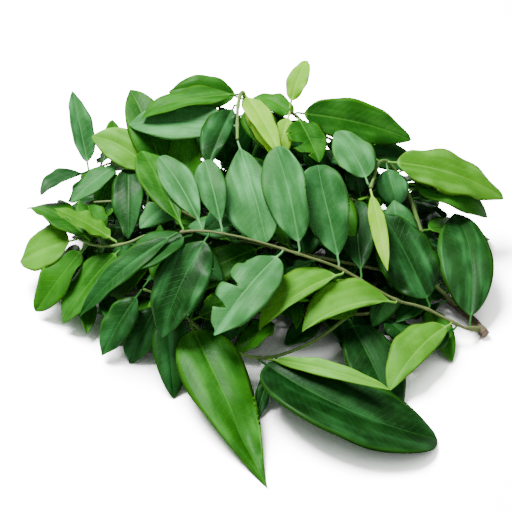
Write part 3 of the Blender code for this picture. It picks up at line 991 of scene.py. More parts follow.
def as_piece(name: str, mesh: bmesh.types.BMesh, material: bpy.types.Material) -> bpy.types.Object:
    """Links a mesh as a smooth piece that rides on the sprig.

    Args:
        name: the piece's name.
        mesh: its skin, freed here.
        material: its finish.

    Returns:
        The object.
    """
    data = bpy.data.meshes.new(name)
    mesh.to_mesh(data)
    mesh.free()
    data.shade_smooth()
    data.materials.append(material)
    piece = bpy.data.objects.new(name, data)
    bpy.context.scene.collection.objects.link(piece)
    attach(piece, "root")
    log.info("%s: %d faces", name, len(data.polygons))
    return piece


@dataclass(frozen=True)
class InnerLeaf:
    """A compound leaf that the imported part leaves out: its rachis route in millimetres."""

    name: str
    leaves_stem_at: float
    route: tuple[tuple[float, float, float], ...]
    lies_flat: bool = False


class LightMap:
    """Where light from one side still gets through the heap: leaf layers counted over square cells."""

    SPAN = 300.0 * MM
    SIDE = 120
    NEED = np.array((1.0, 0.70, 0.35, 0.10, 0.0))
    BLUR = 12.5 * MM
    SURROUNDED = 0.32

    def __init__(self, azimuth: float, elevation: float, weight: float) -> None:
        self.cell = self.SPAN / self.SIDE
        self.towards = np.array(compass(azimuth, elevation))
        self.right = unit(np.cross((0.0, 1e-6, 1.0), self.towards))
        self.up = np.cross(self.towards, self.right)
        self.weight = weight
        self.layers = np.zeros(self.SIDE**2, dtype=int)
        self.nearest = np.full(self.SIDE**2, np.inf)
        self.wanted = np.zeros(self.SIDE**2, dtype=bool)

    def cells(self, places: np.ndarray) -> np.ndarray:
        """The cell that each place falls in."""
        column = np.floor(places @ self.right / self.cell).astype(int) + self.SIDE // 2
        row = np.floor(places @ self.up / self.cell).astype(int) + self.SIDE // 4
        return np.clip(column, 0, self.SIDE - 1) * self.SIDE + np.clip(row, 0, self.SIDE - 1)

    def cast(self, places: np.ndarray) -> None:
        """Adds one leaf's layer."""
        cells = self.cells(places)
        self.layers[np.unique(cells)] += 1
        farthest = np.full(self.SIDE**2, -np.inf)
        np.maximum.at(farthest, cells, places @ self.towards)
        hit = np.isfinite(farthest)
        before, now = self.nearest[hit], farthest[hit]
        self.nearest[hit] = np.where(np.isinf(before), now, np.maximum(before, now))

    def covers(self, places: np.ndarray) -> np.ndarray:
        """How much of each leaf would hide the leaves cast so far."""
        return (places @ self.towards > self.nearest[self.cells(places)]).mean(axis=-1)

    def want(self, heap: np.ndarray) -> None:
        """Settles which cells need leaves: those that the heap covers and outer leaflets surround."""
        covered = (self.layers > 0).reshape(self.SIDE, self.SIDE).astype(float)
        blur = round(self.BLUR / self.cell)
        shifts = range(-blur, blur + 1)
        around = sum(np.roll(covered, (row, column), (0, 1)) for row in shifts for column in shifts)
        inside = np.zeros(self.SIDE**2, dtype=bool)
        inside[np.unique(self.cells(heap))] = True
        self.wanted = inside & (around.ravel() > self.SURROUNDED * len(shifts) ** 2)

    def gain(self, cells: np.ndarray) -> np.ndarray:
        """How much light each row of cells would stop."""
        need = np.where(self.wanted, self.NEED[np.minimum(self.layers, len(self.NEED) - 1)], 0.0)
        return self.weight * need[cells].mean(axis=-1)


@dataclass(frozen=True)
class Heap:
    """The space that the inner leaflets stay in, and how they fill it.

    It is a dome cut off by a canopy plane that rises from front to back, under the outer leaflets.
    """

    centre: np.ndarray = field(default_factory=lambda: np.array((-4.0, 31.0, 0.0)) * MM)
    reach: np.ndarray = field(default_factory=lambda: np.array((99.0, 59.0, 74.0)) * MM)
    canopy_height: float = 35.0 * MM
    canopy_slope: float = 0.5
    spacing: float = 6.0 * MM
    variants: int = 14
    trial_detail: float = 0.3
    detail: float = 0.6
    small_size: float = 0.6
    most: int = 260
    least_gain: float = 0.05
    most_hidden: float = 0.15
    samples: int = 60000
    sides: tuple[tuple[float, float, float], ...] = (
        (-90.0, 40.0, 4.0), (-90.0, 89.0, 1.0), (0.0, 35.0, 0.7), (90.0, 35.0, 0.7), (180.0, 35.0, 0.7))
    # Painted shade: leaflets that lie deeper than outer_depth under the canopy draw darker tones.
    outer_depth: float = 9.0 * MM
    outer_tones: tuple[float, ...] = (0.30, 0.45, 0.22, 0.03)
    inner_tones: tuple[float, ...] = (0.80, 0.18, 0.02, 0.0)

    def under(self, places: np.ndarray) -> np.ndarray:
        """Says which places are under the dome and the canopy, and above the floor."""
        share = np.abs((places - self.centre) / self.reach)
        inside = share[..., 0] ** 4 + share[..., 1] ** 3 + share[..., 2] ** 3 < 1.0
        canopy = self.canopy_height + self.canopy_slope * places[..., 1]
        return inside & (places[..., 2] > LEAST_HEIGHT) & (places[..., 2] < canopy)

    def cloud(self, seed: int) -> np.ndarray:
        """Scattered places all through the heap."""
        rng = np.random.default_rng(seed)
        places = self.centre + self.reach * rng.uniform((-1, -1, 0), (1, 1, 1), (self.samples, 3))
        return places[self.under(places)]

    def tone(self, rng: random.Random, places: np.ndarray) -> Tone:
        """Draws a tone, darker for a leaflet deep in the heap: painted shade."""
        depth = float((self.canopy_height + self.canopy_slope * places[..., 1] - places[..., 2]).min())
        shares = self.outer_tones if depth < self.outer_depth else self.inner_tones
        return rng.choices((Tone.DEEP, Tone.MATURE, Tone.SAGE, Tone.FRESH), shares)[0]


@dataclass
class Sprig:
    """The whole shoot: stem, rachises, the part's leaflets and those grown between them."""

    habits: dict[str, Habit]
    extras: tuple[Growth, ...]
    inner_leaves: tuple[InnerLeaf, ...]
    heap: Heap = field(default_factory=Heap)
    leaflet_seed: int = 11000
    extra_seed: int = 77000
    candidate_seed: int = 99000
    filling_seed: int = 100100
    cloud_seed: int = 11
    strengths: tuple[float, ...] = (1.0, 0.6, 0.3, 0.0)
    nudges: tuple[float, ...] = (0.0, 2.0, 4.0, 6.0, 8.0, 10.0, 12.0, 15.0, 18.0, 22.0)
    trial_detail: float = 0.5
    extra_detail: float = 0.8
    inner_points: int = 20
    inner_radii: tuple[float, float] = (1.0 * MM, 0.55 * MM)
    materials: dict[str, bpy.types.Material] = field(default_factory=dict)
    stalks: dict[str, StalkForm] = field(default_factory=dict)
    forms: dict[str, BladeForm] = field(default_factory=dict)
    around: Neighbours = field(default_factory=Neighbours)
    grown: dict[str, int] = field(default_factory=dict)
    shown: list[tuple[BladeForm, Habit]] = field(default_factory=list)

    def build(self) -> None:
        """Builds every piece in order."""
        self.make_materials()
        self.read_part()
        self.build_stalks()
        self.build_leaflets()
        self.grow_extras()
        self.fill_heap()

    def make_materials(self) -> None:
        """Makes one material for each slot of the record."""
        for tone in Tone:
            self.materials[tone.value] = leaf_material(tone)
        for bark in Bark:
            self.materials[bark.value] = stalk_material(bark)

    def read_part(self) -> None:
        """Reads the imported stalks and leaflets."""
        nodes = frame["nodes"]
        stem = self.stalks[STEM] = StalkForm.from_node(nodes[STEM])
        for name in sorted(nodes):
            if name.endswith("_rachis"):
                self.stalks[name] = StalkForm.from_node(nodes[name]).rooted(stem)
        for name in sorted(nodes):
            cage = cage_of(nodes[name])
            self.around.put(name, cage)
            cage.free()
            if "_leaflet_" in name:
                rachis = self.stalks[name.split("_leaflet_")[0] + "_rachis"]
                self.forms[name] = BladeForm.from_node(nodes[name], lambda end: rachis.nearest(end)[0])
        for leaf in self.inner_leaves:
            joint = stem.at(leaf.leaves_stem_at)[0]
            route = np.vstack([np.array(joint), np.array(leaf.route) * MM])
            along = np.concatenate([[0.0], np.cumsum(np.linalg.norm(np.diff(route, axis=0), axis=1))])
            smooth = follow(along, route, np.linspace(0.0, along[-1], self.inner_points))
            self.stalks[leaf.name] = StalkForm(smooth, np.linspace(*self.inner_radii, len(smooth)))

    def slot_of(self, node: str) -> str:
        """The record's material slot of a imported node."""
        return next(part["material_slot"] for part in frame["record"]["subparts"] if part["node"] == node)

    def build_stalks(self) -> None:
        """Builds the stem and the rachises."""
        for index, (name, form) in enumerate(self.stalks.items()):
            is_stem = name == STEM
            if is_stem:
                ends = [other.points[0] for key, other in self.stalks.items() if key != name]
            else:
                leaflet = name.removesuffix("rachis") + "leaflet"
                ends = [blade.values[1, :3] for key, blade in self.forms.items() if key.startswith(leaflet)]
            joints = [form.nearest(Vector(end))[1] for end in ends]
            greenness = GREENNESS.get(name, 0.45)
            form = StalkForm(form.points, form.radii * THICKNESS.get(name, 1.0))
            mesh = stalk_skin(form, joints, (0.3 + 0.07 * index, greenness, 0.5), cut=is_stem)
            self.around.put(name, mesh)
            packed = name in frame["nodes"]
            slot = self.slot_of(name) if packed else Bark.RACHIS.value
            title = "stem" if is_stem else name.replace("rachis", "stalk")
            piece = as_piece(title, mesh, self.materials[slot])
            if packed:
                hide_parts(name)

    def random_habit(self, rng: random.Random) -> Habit:
        """A leaflet's own way of wilting."""
        return Habit(
            twist=rng.uniform(-35, 35), wave_mm=rng.uniform(0.3, 1.3), waves=rng.uniform(1.6, 3.6),
            phase_left=rng.uniform(0, 6.28), phase_right=rng.uniform(0, 6.28), curl_mm=rng.uniform(-1.8, 1.0),
            left_share=rng.uniform(0.85, 1.08), right_share=rng.uniform(0.85, 1.08),
            tip_bend=rng.uniform(-10, 40), bend_from=rng.uniform(0.3, 0.6), sweep=rng.uniform(-18, 18),
            left_fold=rng.uniform(-12, 16), right_fold=rng.uniform(-12, 16),
        )

    def settled(self, form: BladeForm, habit: Habit, ignored: Sequence[str], detail: float) -> Habit:
        """The habit, weakened until the blade is clear of its neighbours.

        Args:
            form: the blade's sheet.
            habit: the wanted habit.
            ignored: neighbours that it may touch.
            detail: share of the full resolution.

        Returns:
            The habit that fits.
        """
        for strength in self.strengths:
            trial = habit.softened(strength)
            places = leaf_surface(form, trial, detail)[0]
            if places[:, :, 2].min() > 0.0 and not self.around.touched(places, ignored):
                return trial
        return trial

    @staticmethod
    def nature_of(habit: Habit, rng: random.Random) -> Colour:
        """Paleness, which moves the colour from painted shade towards painted light, age and the strength of
        the painted sheen, from 0 to 1, for the finish.
        """
        paleness, age, painted_sheen = rng.random(), rng.random() ** 2, rng.random()
        return (
            paleness if habit.paleness is None else habit.paleness, age,
            painted_sheen if habit.painted_sheen is None else habit.painted_sheen,
        )

    def build_leaflets(self) -> None:
        """Builds the part's own leaflets, each as bent as its neighbours leave room for."""
        for index, (name, form) in enumerate(self.forms.items()):
            rng = random.Random(self.leaflet_seed + index)
            habit = self.habits.get(name, self.random_habit(rng))
            nature = self.nature_of(habit, rng)
            rachis = name.split("_leaflet_")[0] + "_rachis"
            habit = self.settled(form, habit, (name, rachis), 1.0)
            self.shown.append((form, habit))
            mesh = leaf_skin(form, habit, nature)
            self.around.put(name, mesh)
            slot = self.slot_of(name)
            piece = as_piece(name.replace("leaflet", "blade"), mesh, self.materials[slot])
            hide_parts(name)

    def grow_extras(self) -> None:
        """Grows the named leaflets that the part leaves out, each where it finds room."""
        for index, growth in enumerate(self.extras):
            rng = random.Random(self.extra_seed + index)
            for widest in self.nudges:
                trial = growth.turned(*(rng.uniform(-widest, widest) for _ in range(3)))
                form = grown_form(trial, self.stalks[growth.stalk])
                places = leaf_surface(form, EVEN, self.trial_detail, CLEARANCE)[0]
                if places[:, :, 2].min() > LEAST_HEIGHT and not self.around.touched(places, (growth.stalk,)):
                    self.grow(trial, form, rng, self.extra_detail)
                    break
            else:
                log.info("no room on %s at %.2f", growth.stalk, growth.at)

    def candidates(self) -> list[tuple[Growth, BladeForm, np.ndarray]]:
        """Leaflets that could grow inside the heap, with their forms and places."""
        flat = {leaf.name for leaf in self.inner_leaves if leaf.lies_flat}
        rng = random.Random(self.candidate_seed)
        found = []
        for name, stalk in self.stalks.items():
            if name == STEM:
                continue
            lies_flat = name in flat
            count = int(stalk.along()[-1] / self.heap.spacing)
            for step in range(2 * self.heap.variants * count):
                station = (step // (2 * self.heap.variants) + 1) / count
                direction = stalk.at(station)[1]
                bearing = math.degrees(math.atan2(direction.y, direction.x))
                turn = rng.uniform(25, 125) * (1 if step % 2 else -1)
                size = self.heap.small_size if step % 4 > 1 else 1.0
                climb = rng.uniform(-10, 14) if lies_flat else rng.uniform(-50, 45)
                growth = Growth(
                    name, station, bearing + turn, climb,
                    size * rng.uniform(25, 46), size * rng.uniform(12, 21), Tone.DEEP,
                    arch=rng.uniform(5, 45), sway=rng.uniform(-25, 25),
                    roll=rng.uniform(-15, 15) if lies_flat else rng.uniform(-45, 45), fold=rng.uniform(6, 22),
                )
                form = grown_form(growth, stalk)
                places = leaf_surface(form, EVEN, self.heap.trial_detail, CLEARANCE)[0]
                if self.heap.under(places).all():
                    found.append((growth, form, places))
        return found

    def fill_heap(self) -> None:
        """Fills the heap, each time with the leaflet that stops most of the light still getting through."""
        maps = [LightMap(*side) for side in self.heap.sides]
        heap = self.heap.cloud(self.cloud_seed)
        outer = [leaf_surface(form, habit)[0].reshape(-1, 3) for form, habit in self.shown]
        for light in maps:
            for places in outer:
                light.cast(places)
            light.want(heap)
        pool = self.candidates()
        places = np.array([grid.reshape(-1, 3) for _, _, grid in pool])
        cells = [light.cells(places) for light in maps]
        area = np.array([growth.length * growth.width for growth, _, _ in pool])
        free = np.where(maps[0].covers(places) > self.heap.most_hidden, 0.0, area / area.mean())
        rng = random.Random(self.filling_seed)
        grown = 0
        while grown < self.heap.most:
            gain = sum(light.gain(rows) for light, rows in zip(maps, cells)) * free
            best = int(gain.argmax())
            if gain[best] < self.heap.least_gain:
                break
            free[best] = 0.0
            growth, form, grid = pool[best]
            if self.around.touched(grid, (growth.stalk,)):
                continue
            self.grow(replace(growth, tone=self.heap.tone(rng, grid)), form, rng, self.heap.detail)
            for light in maps:
                light.cast(leaf_surface(form, EVEN, self.heap.detail)[0].reshape(-1, 3))
            grown += 1
        log.info("%d leaflets fill the heap, from %d candidates", grown, len(pool))

    def grow(self, growth: Growth, form: BladeForm, rng: random.Random, detail: float) -> None:
        """Builds one grown leaflet.

        Args:
            growth: its numbers.
            form: its sheet, clear of everything.
            rng: its own chance.
            detail: its share of the full rows and columns.
        """
        habit = self.settled(form, self.random_habit(rng), (growth.stalk,), detail)
        self.shown.append((form, habit))
        mesh = leaf_skin(form, habit, self.nature_of(habit, rng), detail=detail)
        self.grown[growth.stalk] = self.grown.get(growth.stalk, 0) + 1
        name = f"{growth.stalk.replace('rachis', 'inner')}_{self.grown[growth.stalk]:02d}"
        self.around.put(name, mesh)
        slot = growth.tone.value
        as_piece(name, mesh, self.materials[slot])


@dataclass
class Studio:
    """Pale floor, soft lights and the camera."""

    aim: Vector = Vector((-4.0, 1.8, 30.0)) * MM
    elevation: float = 40.0
    distance: float = 0.45
    lens: float = 75.3
    sensor: float = 36.0
    sky_strength: float = 0.22
    floor_half: float = 3.0
    shade_reach: float = 60.0 * MM

    def build(self) -> None:
        """Sets up floor, sky, lights and camera."""
        self.lay_floor()
        self.light()
        self.place_camera()

    def lay_floor(self) -> None:
        """A wide pale floor under the sprig, with painted shade where ambient occlusion finds the heap close
        over it.
        """
        mesh = bmesh.new()
        bmesh.ops.create_grid(mesh, x_segments=1, y_segments=1, size=self.floor_half)
        data = bpy.data.meshes.new("floor")
        mesh.to_mesh(data)
        mesh.free()
        board = Board("pale_floor")
        tone = board.noise(board.place(), 6.0, 2.0)
        matt = board.add("BsdfDiffuse", {"Color": board.mix(tone, (0.58, 0.58, 0.58), (0.62, 0.62, 0.62))})
        # Painted shade: the floor that the camera sees falls from bright white to plain grey where ambient
        # occlusion finds the heap close over it.
        openness = board.add("AmbientOcclusion", {"Distance": self.shade_reach}, samples=8).outputs["AO"]
        bright = board.mix(tone, (7.6, 7.6, 7.6), (8.0, 8.0, 8.0))
        white_with_painted_shade = board.mix(board.rise(openness, 0.25, 0.75), (0.8, 0.8, 0.8), bright)
        white = board.add("BsdfDiffuse", {"Color": white_with_painted_shade})
        seen = board.add("LightPath", {}).outputs["Is Camera Ray"]
        shown = board.add("MixShader", {0: seen, 1: matt.outputs[0], 2: white.outputs[0]})
        data.materials.append(board.finish(shown.outputs[0]))
        floor = bpy.data.objects.new("floor", data)
        bpy.context.scene.collection.objects.link(floor)

    def light(self) -> None:
        """A white sky, a broad key lamp above and behind, and a weak front lamp."""
        sky = bpy.data.worlds.new("studio_sky")
        sky.use_nodes = True
        background = sky.node_tree.nodes["Background"]
        background.inputs["Color"].default_value = (1.0, 1.0, 1.0, 1.0)
        background.inputs["Strength"].default_value = self.sky_strength
        bpy.context.scene.world = sky
        self.lamp("key", Vector((-0.35, 0.25, 0.95)), 0.42, 25.0)
        self.lamp("fill", Vector((0.5, -0.7, 0.7)), 0.8, 2.0)

    def lamp(self, name: str, place: Vector, size: float, power: float) -> None:
        """A square area lamp that faces the sprig.

        Args:
            name: its name.
            place: where it hangs.
            size: its side in metres.
            power: its power in watts.
        """
        data = bpy.data.lights.new(name, "AREA")
        data.size = size
        data.energy = power
        lamp = bpy.data.objects.new(name, data)
        lamp.location = place
        lamp.rotation_euler = (self.aim - place).to_track_quat("-Z", "Y").to_euler()
        bpy.context.scene.collection.objects.link(lamp)

    def place_camera(self) -> None:
        """Looks at the heap from the front, well above the floor."""
        tilt = math.radians(self.elevation)
        ahead = Vector((0.0, math.cos(tilt), -math.sin(tilt)))
        data = bpy.data.cameras.new("camera")
        data.sensor_width = self.sensor
        data.lens = self.lens
        camera = bpy.data.objects.new("camera", data)
        camera.location = self.aim - ahead * self.distance
        camera.rotation_euler = ahead.to_track_quat("-Z", "Y").to_euler()
        bpy.context.scene.collection.objects.link(camera)
        bpy.context.scene.camera = camera


GREENNESS = {
    "woody_stem": 0.1, "top_leaf_rachis": 0.95, "right_leaf_rachis": 0.9, "low_front_leaf_rachis": 1.0,
    "left_leaf_rachis": 0.8, "front_leaf_rachis": 0.3,
}
THICKNESS = {"top_leaf_rachis": 1.35, "right_leaf_rachis": 1.3, "front_leaf_rachis": 0.85}
# Each leaflet's paleness moves its colour between painted shade and painted light, and its sheen number sets
# the strength of its painted sheen.
HABITS: dict[str, Habit] = {
    "low_front_leaf_leaflet_05": Habit(wave_mm=0.7, left_fold=-8, right_fold=14, paleness=1.0, painted_sheen=0.7),
    "low_front_leaf_leaflet_06": Habit(wave_mm=0.7, left_fold=-8, right_fold=14, paleness=1.0, painted_sheen=0.7),
    "top_leaf_leaflet_05": Habit(
        wave_mm=0.6, left_share=0.45, right_share=1.0, left_fold=-20, right_fold=10, paleness=0.3,
        painted_sheen=1.0),
    "back_leaf_leaflet_04": Habit(
        wave_mm=0.8, waves=2.2, ragged=0.5, left_share=0.9, right_share=1.15, paleness=0.0, painted_sheen=0.2),
    "low_front_leaf_leaflet_02": Habit(
        wave_mm=0.3, right_share=1.3, left_share=1.0, right_fold=8, widest_at=0.5, tip_power=0.5,
        paleness=0.0, painted_sheen=0.0),
    "low_front_leaf_leaflet_04": Habit(
        wave_mm=1.2, waves=1.5, left_share=1.0, right_share=1.0, widest_at=0.28, tip_power=1.2,
        curl_mm=-1.4, paleness=0.35, painted_sheen=0.5),
    "low_front_leaf_leaflet_03": Habit(
        wave_mm=0.4, left_share=0.5, right_share=0.42, right_fold=-14, paleness=1.0),
    "low_front_leaf_leaflet_01": Habit(
        wave_mm=0.5, left_share=1.1, right_share=0.95, paleness=0.0, painted_sheen=0.0),
    "front_leaf_leaflet_05": Habit(
        wave_mm=0.5, left_share=0.22, right_share=1.3, left_fold=-20, sweep=12, paleness=0.5,
        widest_at=0.45, tip_power=1.05),
    "front_leaf_leaflet_08": Habit(
        wave_mm=0.5, left_share=0.3, right_share=1.2, left_fold=-20, sweep=12, paleness=0.45,
        widest_at=0.38, tip_power=1.05),
    "front_leaf_leaflet_03": Habit(
        wave_mm=0.7, left_share=0.5, right_share=1.05, left_fold=-20, sweep=10, stretch=0.88, paleness=0.3),
    "front_leaf_leaflet_10": Habit(
        wave_mm=0.9, ragged=0.6, twist=-14, phase_right=0.9, paleness=0.4, left_share=1.1, right_share=1.0),
    "front_leaf_leaflet_12": Habit(
        wave_mm=0.9, waves=4.2, twist=12, left_fold=-8, right_fold=10, left_share=0.9, right_share=0.95,
        paleness=0.25, painted_sheen=1.0),
    "front_leaf_leaflet_16": Habit(
        wave_mm=0.5, left_fold=-10, right_fold=16, tip_power=0.95, left_share=0.62, right_share=0.66,
        paleness=0.95, painted_sheen=1.0),
    "front_leaf_leaflet_01": Habit(
        wave_mm=1.2, waves=2.0, curl_mm=-1.0, left_share=1.12, right_share=0.72, left_fold=-18,
        right_fold=-8, tip_bend=14, sweep=8, widest_at=0.5, tip_power=0.7, paleness=0.45, painted_sheen=0.8),
    "front_leaf_leaflet_04": Habit(
        wave_mm=1.7, waves=3.4, twist=10, left_share=1.1, curl_mm=-1.0, left_fold=-14, right_fold=20,
        paleness=0.3, painted_sheen=1.0),
    "front_leaf_leaflet_06": Habit(
        wave_mm=0.8, waves=2.2, left_fold=-10, right_fold=26, widest_at=0.58, tip_power=0.6, paleness=0.0,
        painted_sheen=0.2),
    "front_leaf_leaflet_07": Habit(
        left_share=1.0, right_share=0.95, wave_mm=2.0, waves=2.4, phase_left=1.2, left_fold=-12,
        right_fold=24, widest_at=0.62, tip_power=0.45, tip_bend=-16, paleness=0.0, painted_sheen=0.1),
    "front_leaf_leaflet_09": Habit(
        left_share=1.0, right_share=0.85, wave_mm=1.6, waves=2.2, left_fold=-14, right_fold=36,
        widest_at=0.55, tip_power=0.55, twist=-8, sweep=8, paleness=0.75, painted_sheen=1.0),
    "front_leaf_leaflet_11": Habit(
        left_share=1.0, right_share=0.85, wave_mm=1.2, waves=2.5, left_fold=-16, right_fold=34, twist=8,
        widest_at=0.58, tip_power=0.65, paleness=0.15, painted_sheen=0.5),
    "front_leaf_leaflet_13": Habit(
        wave_mm=1.2, waves=2.0, left_share=0.8, right_share=0.8, left_fold=-18, right_fold=34, sweep=12,
        widest_at=0.55, tip_power=0.75, paleness=0.35, painted_sheen=1.0),
    "front_leaf_leaflet_15": Habit(
        wave_mm=1.2, waves=2.6, left_fold=-18, right_fold=32, left_share=0.85, right_share=0.75, sweep=-6,
        widest_at=0.55, tip_power=0.75, paleness=0.2, painted_sheen=1.0),
    "top_leaf_leaflet_02": Habit(wave_mm=0.4, curl_mm=-1.8, left_share=1.1, right_share=0.8, paleness=0.3),
    "top_leaf_leaflet_03": Habit(
        wave_mm=0.5, left_share=0.62, right_share=0.7, widest_at=0.32, tip_power=1.0),
    "top_leaf_leaflet_07": Habit(
        left_share=0.85, right_share=1.25, wave_mm=1.5, waves=2.0, left_fold=30, right_fold=-14,
        widest_at=0.6, tip_power=0.7, paleness=0.5, painted_sheen=1.0),
    "right_leaf_leaflet_03": Habit(
        wave_mm=1.3, waves=3.2, left_fold=8, right_fold=-10, curl_mm=-0.8, sweep=-4, paleness=0.2),
    "right_leaf_leaflet_05": Habit(wave_mm=0.5, left_fold=20, right_fold=-12, left_share=0.8),
    "back_leaf_leaflet_05": Habit(wave_mm=0.4, left_share=0.8, right_share=0.85, paleness=0.0, painted_sheen=0.0),
    "back_leaf_leaflet_03": Habit(
        wave_mm=1.3, waves=3.2, right_fold=-14, left_fold=12, paleness=0.0, painted_sheen=0.2, left_share=0.85,
        right_share=0.85),
    "upper_left_leaf_leaflet_06": Habit(
        wave_mm=0.5, left_fold=24, right_fold=-18, left_share=0.8, paleness=0.0),
    "left_leaf_leaflet_03": Habit(wave_mm=1.1, stretch=0.8, left_fold=20, right_fold=-16, paleness=0.1),
    "left_leaf_leaflet_07": Habit(wave_mm=0.5, left_share=1.2, right_share=1.2, paleness=0.45),
}
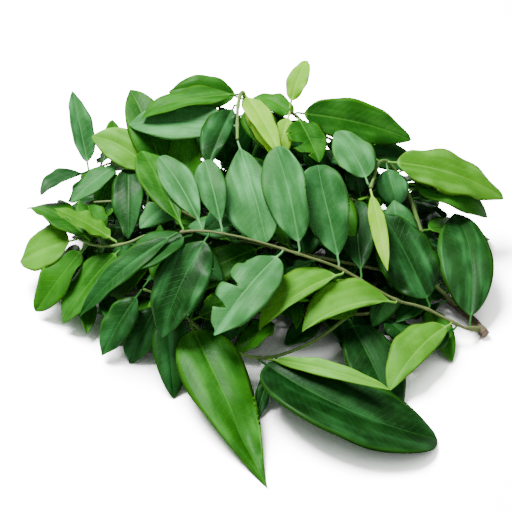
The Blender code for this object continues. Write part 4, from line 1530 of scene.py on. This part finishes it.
EXTRAS: tuple[Growth, ...] = (
    Growth("low_front_leaf_rachis", 0.56, -111, -25, 25, 7, Tone.DEEP, arch=4, sway=6),
    Growth("inner_leaf_c_rachis", 0.60, -117, -19, 33, 20, Tone.DEEP, arch=30, sway=10),
    Growth("inner_leaf_f_rachis", 0.70, -125, -10, 23, 14, Tone.MATURE, arch=20, sway=-15, fold=16),
    Growth("inner_leaf_f_rachis", 0.10, -74, -8, 28, 13, Tone.MATURE, arch=20, sway=10, fold=16),
    Growth("inner_leaf_f_rachis", 0.30, -43, -12, 19, 13, Tone.DEEP, arch=14, sway=10, fold=16),
    Growth("inner_leaf_f_rachis", 0.50, -137, -12, 19, 12, Tone.DEEP, arch=10, sway=10, fold=16),
    Growth("inner_leaf_f_rachis", 0.40, -105, -15, 16, 12, Tone.DEEP, arch=10, sway=-10, fold=16),
    Growth("inner_leaf_g_rachis", 0.68, -114, -10, 27, 15, Tone.MATURE, arch=16, sway=-12, fold=16),
    Growth("inner_leaf_g_rachis", 0.55, -103, -8, 35, 16, Tone.MATURE, arch=20, sway=10, fold=18),
    Growth("low_front_leaf_rachis", 0.92, -81, -29, 38, 16, Tone.DEEP, arch=24, sway=12, fold=20),
    Growth("low_front_leaf_rachis", 0.80, -65, -45, 19, 13, Tone.DEEP, arch=20, sway=-12, fold=20),
    Growth("upper_left_leaf_rachis", 0.99, -151, -6, 22, 19, Tone.DEEP, arch=12, sway=-10, roll=20),
    Growth("right_leaf_rachis", 0.72, -71, -41, 18, 15, Tone.SAGE, arch=10, sway=8),
    Growth("inner_leaf_d_rachis", 0.60, 91, 66, 18, 14, Tone.DEEP, arch=10, sway=8),
    Growth("inner_leaf_d_rachis", 0.82, 116, 43, 11, 14, Tone.DEEP, arch=10, sway=8),
    Growth("inner_leaf_d_rachis", 0.72, 124, 73, 13, 13, Tone.DEEP, arch=10, sway=8),
    Growth("inner_leaf_b_rachis", 0.55, 115, 53, 17, 14, Tone.DEEP, arch=10, sway=8),
    Growth("right_leaf_rachis", 0.56, 81, -23, 33, 15, Tone.DEEP, arch=10, sway=8, fold=12),
    Growth("right_leaf_rachis", 0.50, 63, -25, 28, 14, Tone.MATURE, arch=10, sway=8, fold=12),
    Growth("right_leaf_rachis", 0.60, 126, -74, 16, 12, Tone.DEEP, arch=10, sway=8, fold=12),
    Growth("inner_leaf_b_rachis", 0.25, 92, 8, 29, 14, Tone.DEEP, arch=10, sway=8, fold=12),
    Growth("back_leaf_rachis", 0.78, 42, -41, 18, 13, Tone.DEEP, arch=10, sway=8, fold=12),
    Growth("inner_leaf_d_rachis", 0.80, 98, -21, 18, 13, Tone.DEEP, arch=10, sway=8, fold=12),
    Growth("inner_leaf_d_rachis", 0.55, 100, 7, 14, 12, Tone.DEEP, arch=10, sway=8, fold=12),
    Growth("left_leaf_rachis", 0.93, 126, -17, 37, 10, Tone.MATURE, arch=10, sway=10, fold=12),
    Growth("left_leaf_rachis", 0.80, 171, -62, 15, 15, Tone.DEEP, arch=14, sway=-10, fold=12),
    Growth("left_leaf_rachis", 0.60, -154, -52, 25, 15, Tone.DEEP, arch=14, sway=-10, fold=12),
    Growth("left_leaf_rachis", 0.45, -148, -25, 21, 14, Tone.DEEP, arch=14, sway=-10, fold=12),
    Growth("upper_left_leaf_rachis", 0.88, -167, -44, 21, 12, Tone.MATURE, arch=14, sway=-10, fold=12),
    Growth("upper_left_leaf_rachis", 0.78, -127, -47, 24, 12, Tone.MATURE, arch=16, sway=10, fold=12),
    Growth("upper_left_leaf_rachis", 0.28, -127, 5, 24, 14, Tone.SAGE, arch=26, sway=-12, roll=-10),
    Growth("upper_left_leaf_rachis", 0.66, 141, 13, 16, 10, Tone.MATURE, arch=14, sway=12),
    Growth("top_leaf_rachis", 0.30, 138, 61, 26, 15, Tone.DEEP, arch=10, sway=10),
    Growth("top_leaf_rachis", 0.62, -65, -16, 42, 12, Tone.YOUNG, arch=14, sway=10, fold=20),
    Growth("back_leaf_rachis", 0.99, -102, -31, 25, 11, Tone.YOUNG, arch=14, sway=10, fold=20),
    Growth("top_leaf_rachis", 0.55, -52, -15, 31, 14, Tone.DEEP, arch=20, sway=10),
    Growth("top_leaf_rachis", 0.55, -137, 4, 30, 14, Tone.DEEP, arch=16, sway=-10),
    Growth("back_leaf_rachis", 0.90, 145, 7, 24, 14, Tone.MATURE, arch=14, sway=10),
    Growth("right_leaf_rachis", 0.44, 19, -48, 31, 12, Tone.DEEP, arch=10, sway=-10),
    Growth("right_leaf_rachis", 0.56, 22, -3, 15, 13, Tone.MATURE, arch=14, sway=10),
    Growth("right_leaf_rachis", 0.62, 36, -9, 15, 13, Tone.DEEP, arch=20, sway=10),
    Growth("right_leaf_rachis", 0.24, -2, -43, 21, 14, Tone.DEEP, arch=14, sway=-10),
    Growth("back_leaf_rachis", 0.58, -31, 2, 29, 18, Tone.MATURE, arch=20, sway=10),
    Growth("back_leaf_rachis", 0.42, 5, 15, 14, 14, Tone.DEEP, arch=14, sway=10),
    Growth("inner_leaf_c_rachis", 0.35, -69, -16, 34, 13, Tone.DEEP, arch=10, sway=-8),
    Growth("inner_leaf_c_rachis", 0.48, -99, -19, 31, 16, Tone.DEEP, arch=16, sway=8),
    Growth("back_leaf_rachis", 0.45, -54, -6, 22, 16, Tone.DEEP, arch=20, sway=10),
    Growth("inner_leaf_a_rachis", 0.14, -137, -16, 21, 12, Tone.DEEP, arch=14, sway=10),
    Growth("inner_leaf_a_rachis", 0.28, -130, -34, 23, 14, Tone.DEEP, arch=14, sway=10),
    Growth("inner_leaf_c_rachis", 0.12, -65, -15, 22, 14, Tone.DEEP, arch=14, sway=10),
)
INNER_LEAVES = (
    InnerLeaf(
        "inner_leaf_a_rachis", 0.12, ((70, 4, 14), (50, 2, 22), (28, 4, 26), (8, 6, 30), (-12, 10, 32))),
    InnerLeaf("inner_leaf_b_rachis", 0.30, ((62, 36, 20), (44, 38, 30), (24, 40, 36), (6, 40, 38))),
    InnerLeaf(
        "inner_leaf_c_rachis", 0.45, ((36, 20, 10), (18, 8, 12), (-4, 2, 14), (-26, 2, 16), (-44, 4, 16))),
    InnerLeaf("inner_leaf_d_rachis", 0.65, ((4, 52, 22), (-14, 56, 32), (-32, 58, 40), (-50, 58, 42))),
    InnerLeaf("inner_leaf_e_rachis", 0.85, ((-24, 30, 24), (-40, 32, 32), (-58, 32, 36), (-76, 34, 34))),
    InnerLeaf(
        "inner_leaf_f_rachis", 0.20, ((66, -4, 6), (44, -8, 6), (20, -9, 6), (-6, -9, 7), (-30, -8, 7)),
        True),
    InnerLeaf(
        "inner_leaf_g_rachis", 0.70, ((-10, 20, 6), (-30, 12, 7), (-50, 6, 7), (-70, 4, 7), (-84, 6, 7)),
        True),
    InnerLeaf(
        "inner_leaf_h_rachis", 0.05, ((84, 8, 6), (82, 24, 8), (74, 40, 9), (60, 54, 9), (40, 64, 9)),
        True),
    InnerLeaf(
        "inner_leaf_i_rachis", 0.55, ((10, 44, 8), (-8, 54, 9), (-30, 60, 9), (-52, 60, 9), (-70, 50, 9)),
        True),
    InnerLeaf(
        "inner_leaf_j_rachis", 0.35, ((44, 8, 8), (20, 12, 12), (-4, 18, 12), (-30, 24, 12), (-60, 26, 12)),
        True),
)


def main() -> None:
    """Builds the sprig and the studio."""
    logging.basicConfig(level=logging.INFO, format="%(message)s")
    Sprig(HABITS, EXTRAS, INNER_LEAVES).build()
    Studio().build()


if __name__ == "__main__":
    main()
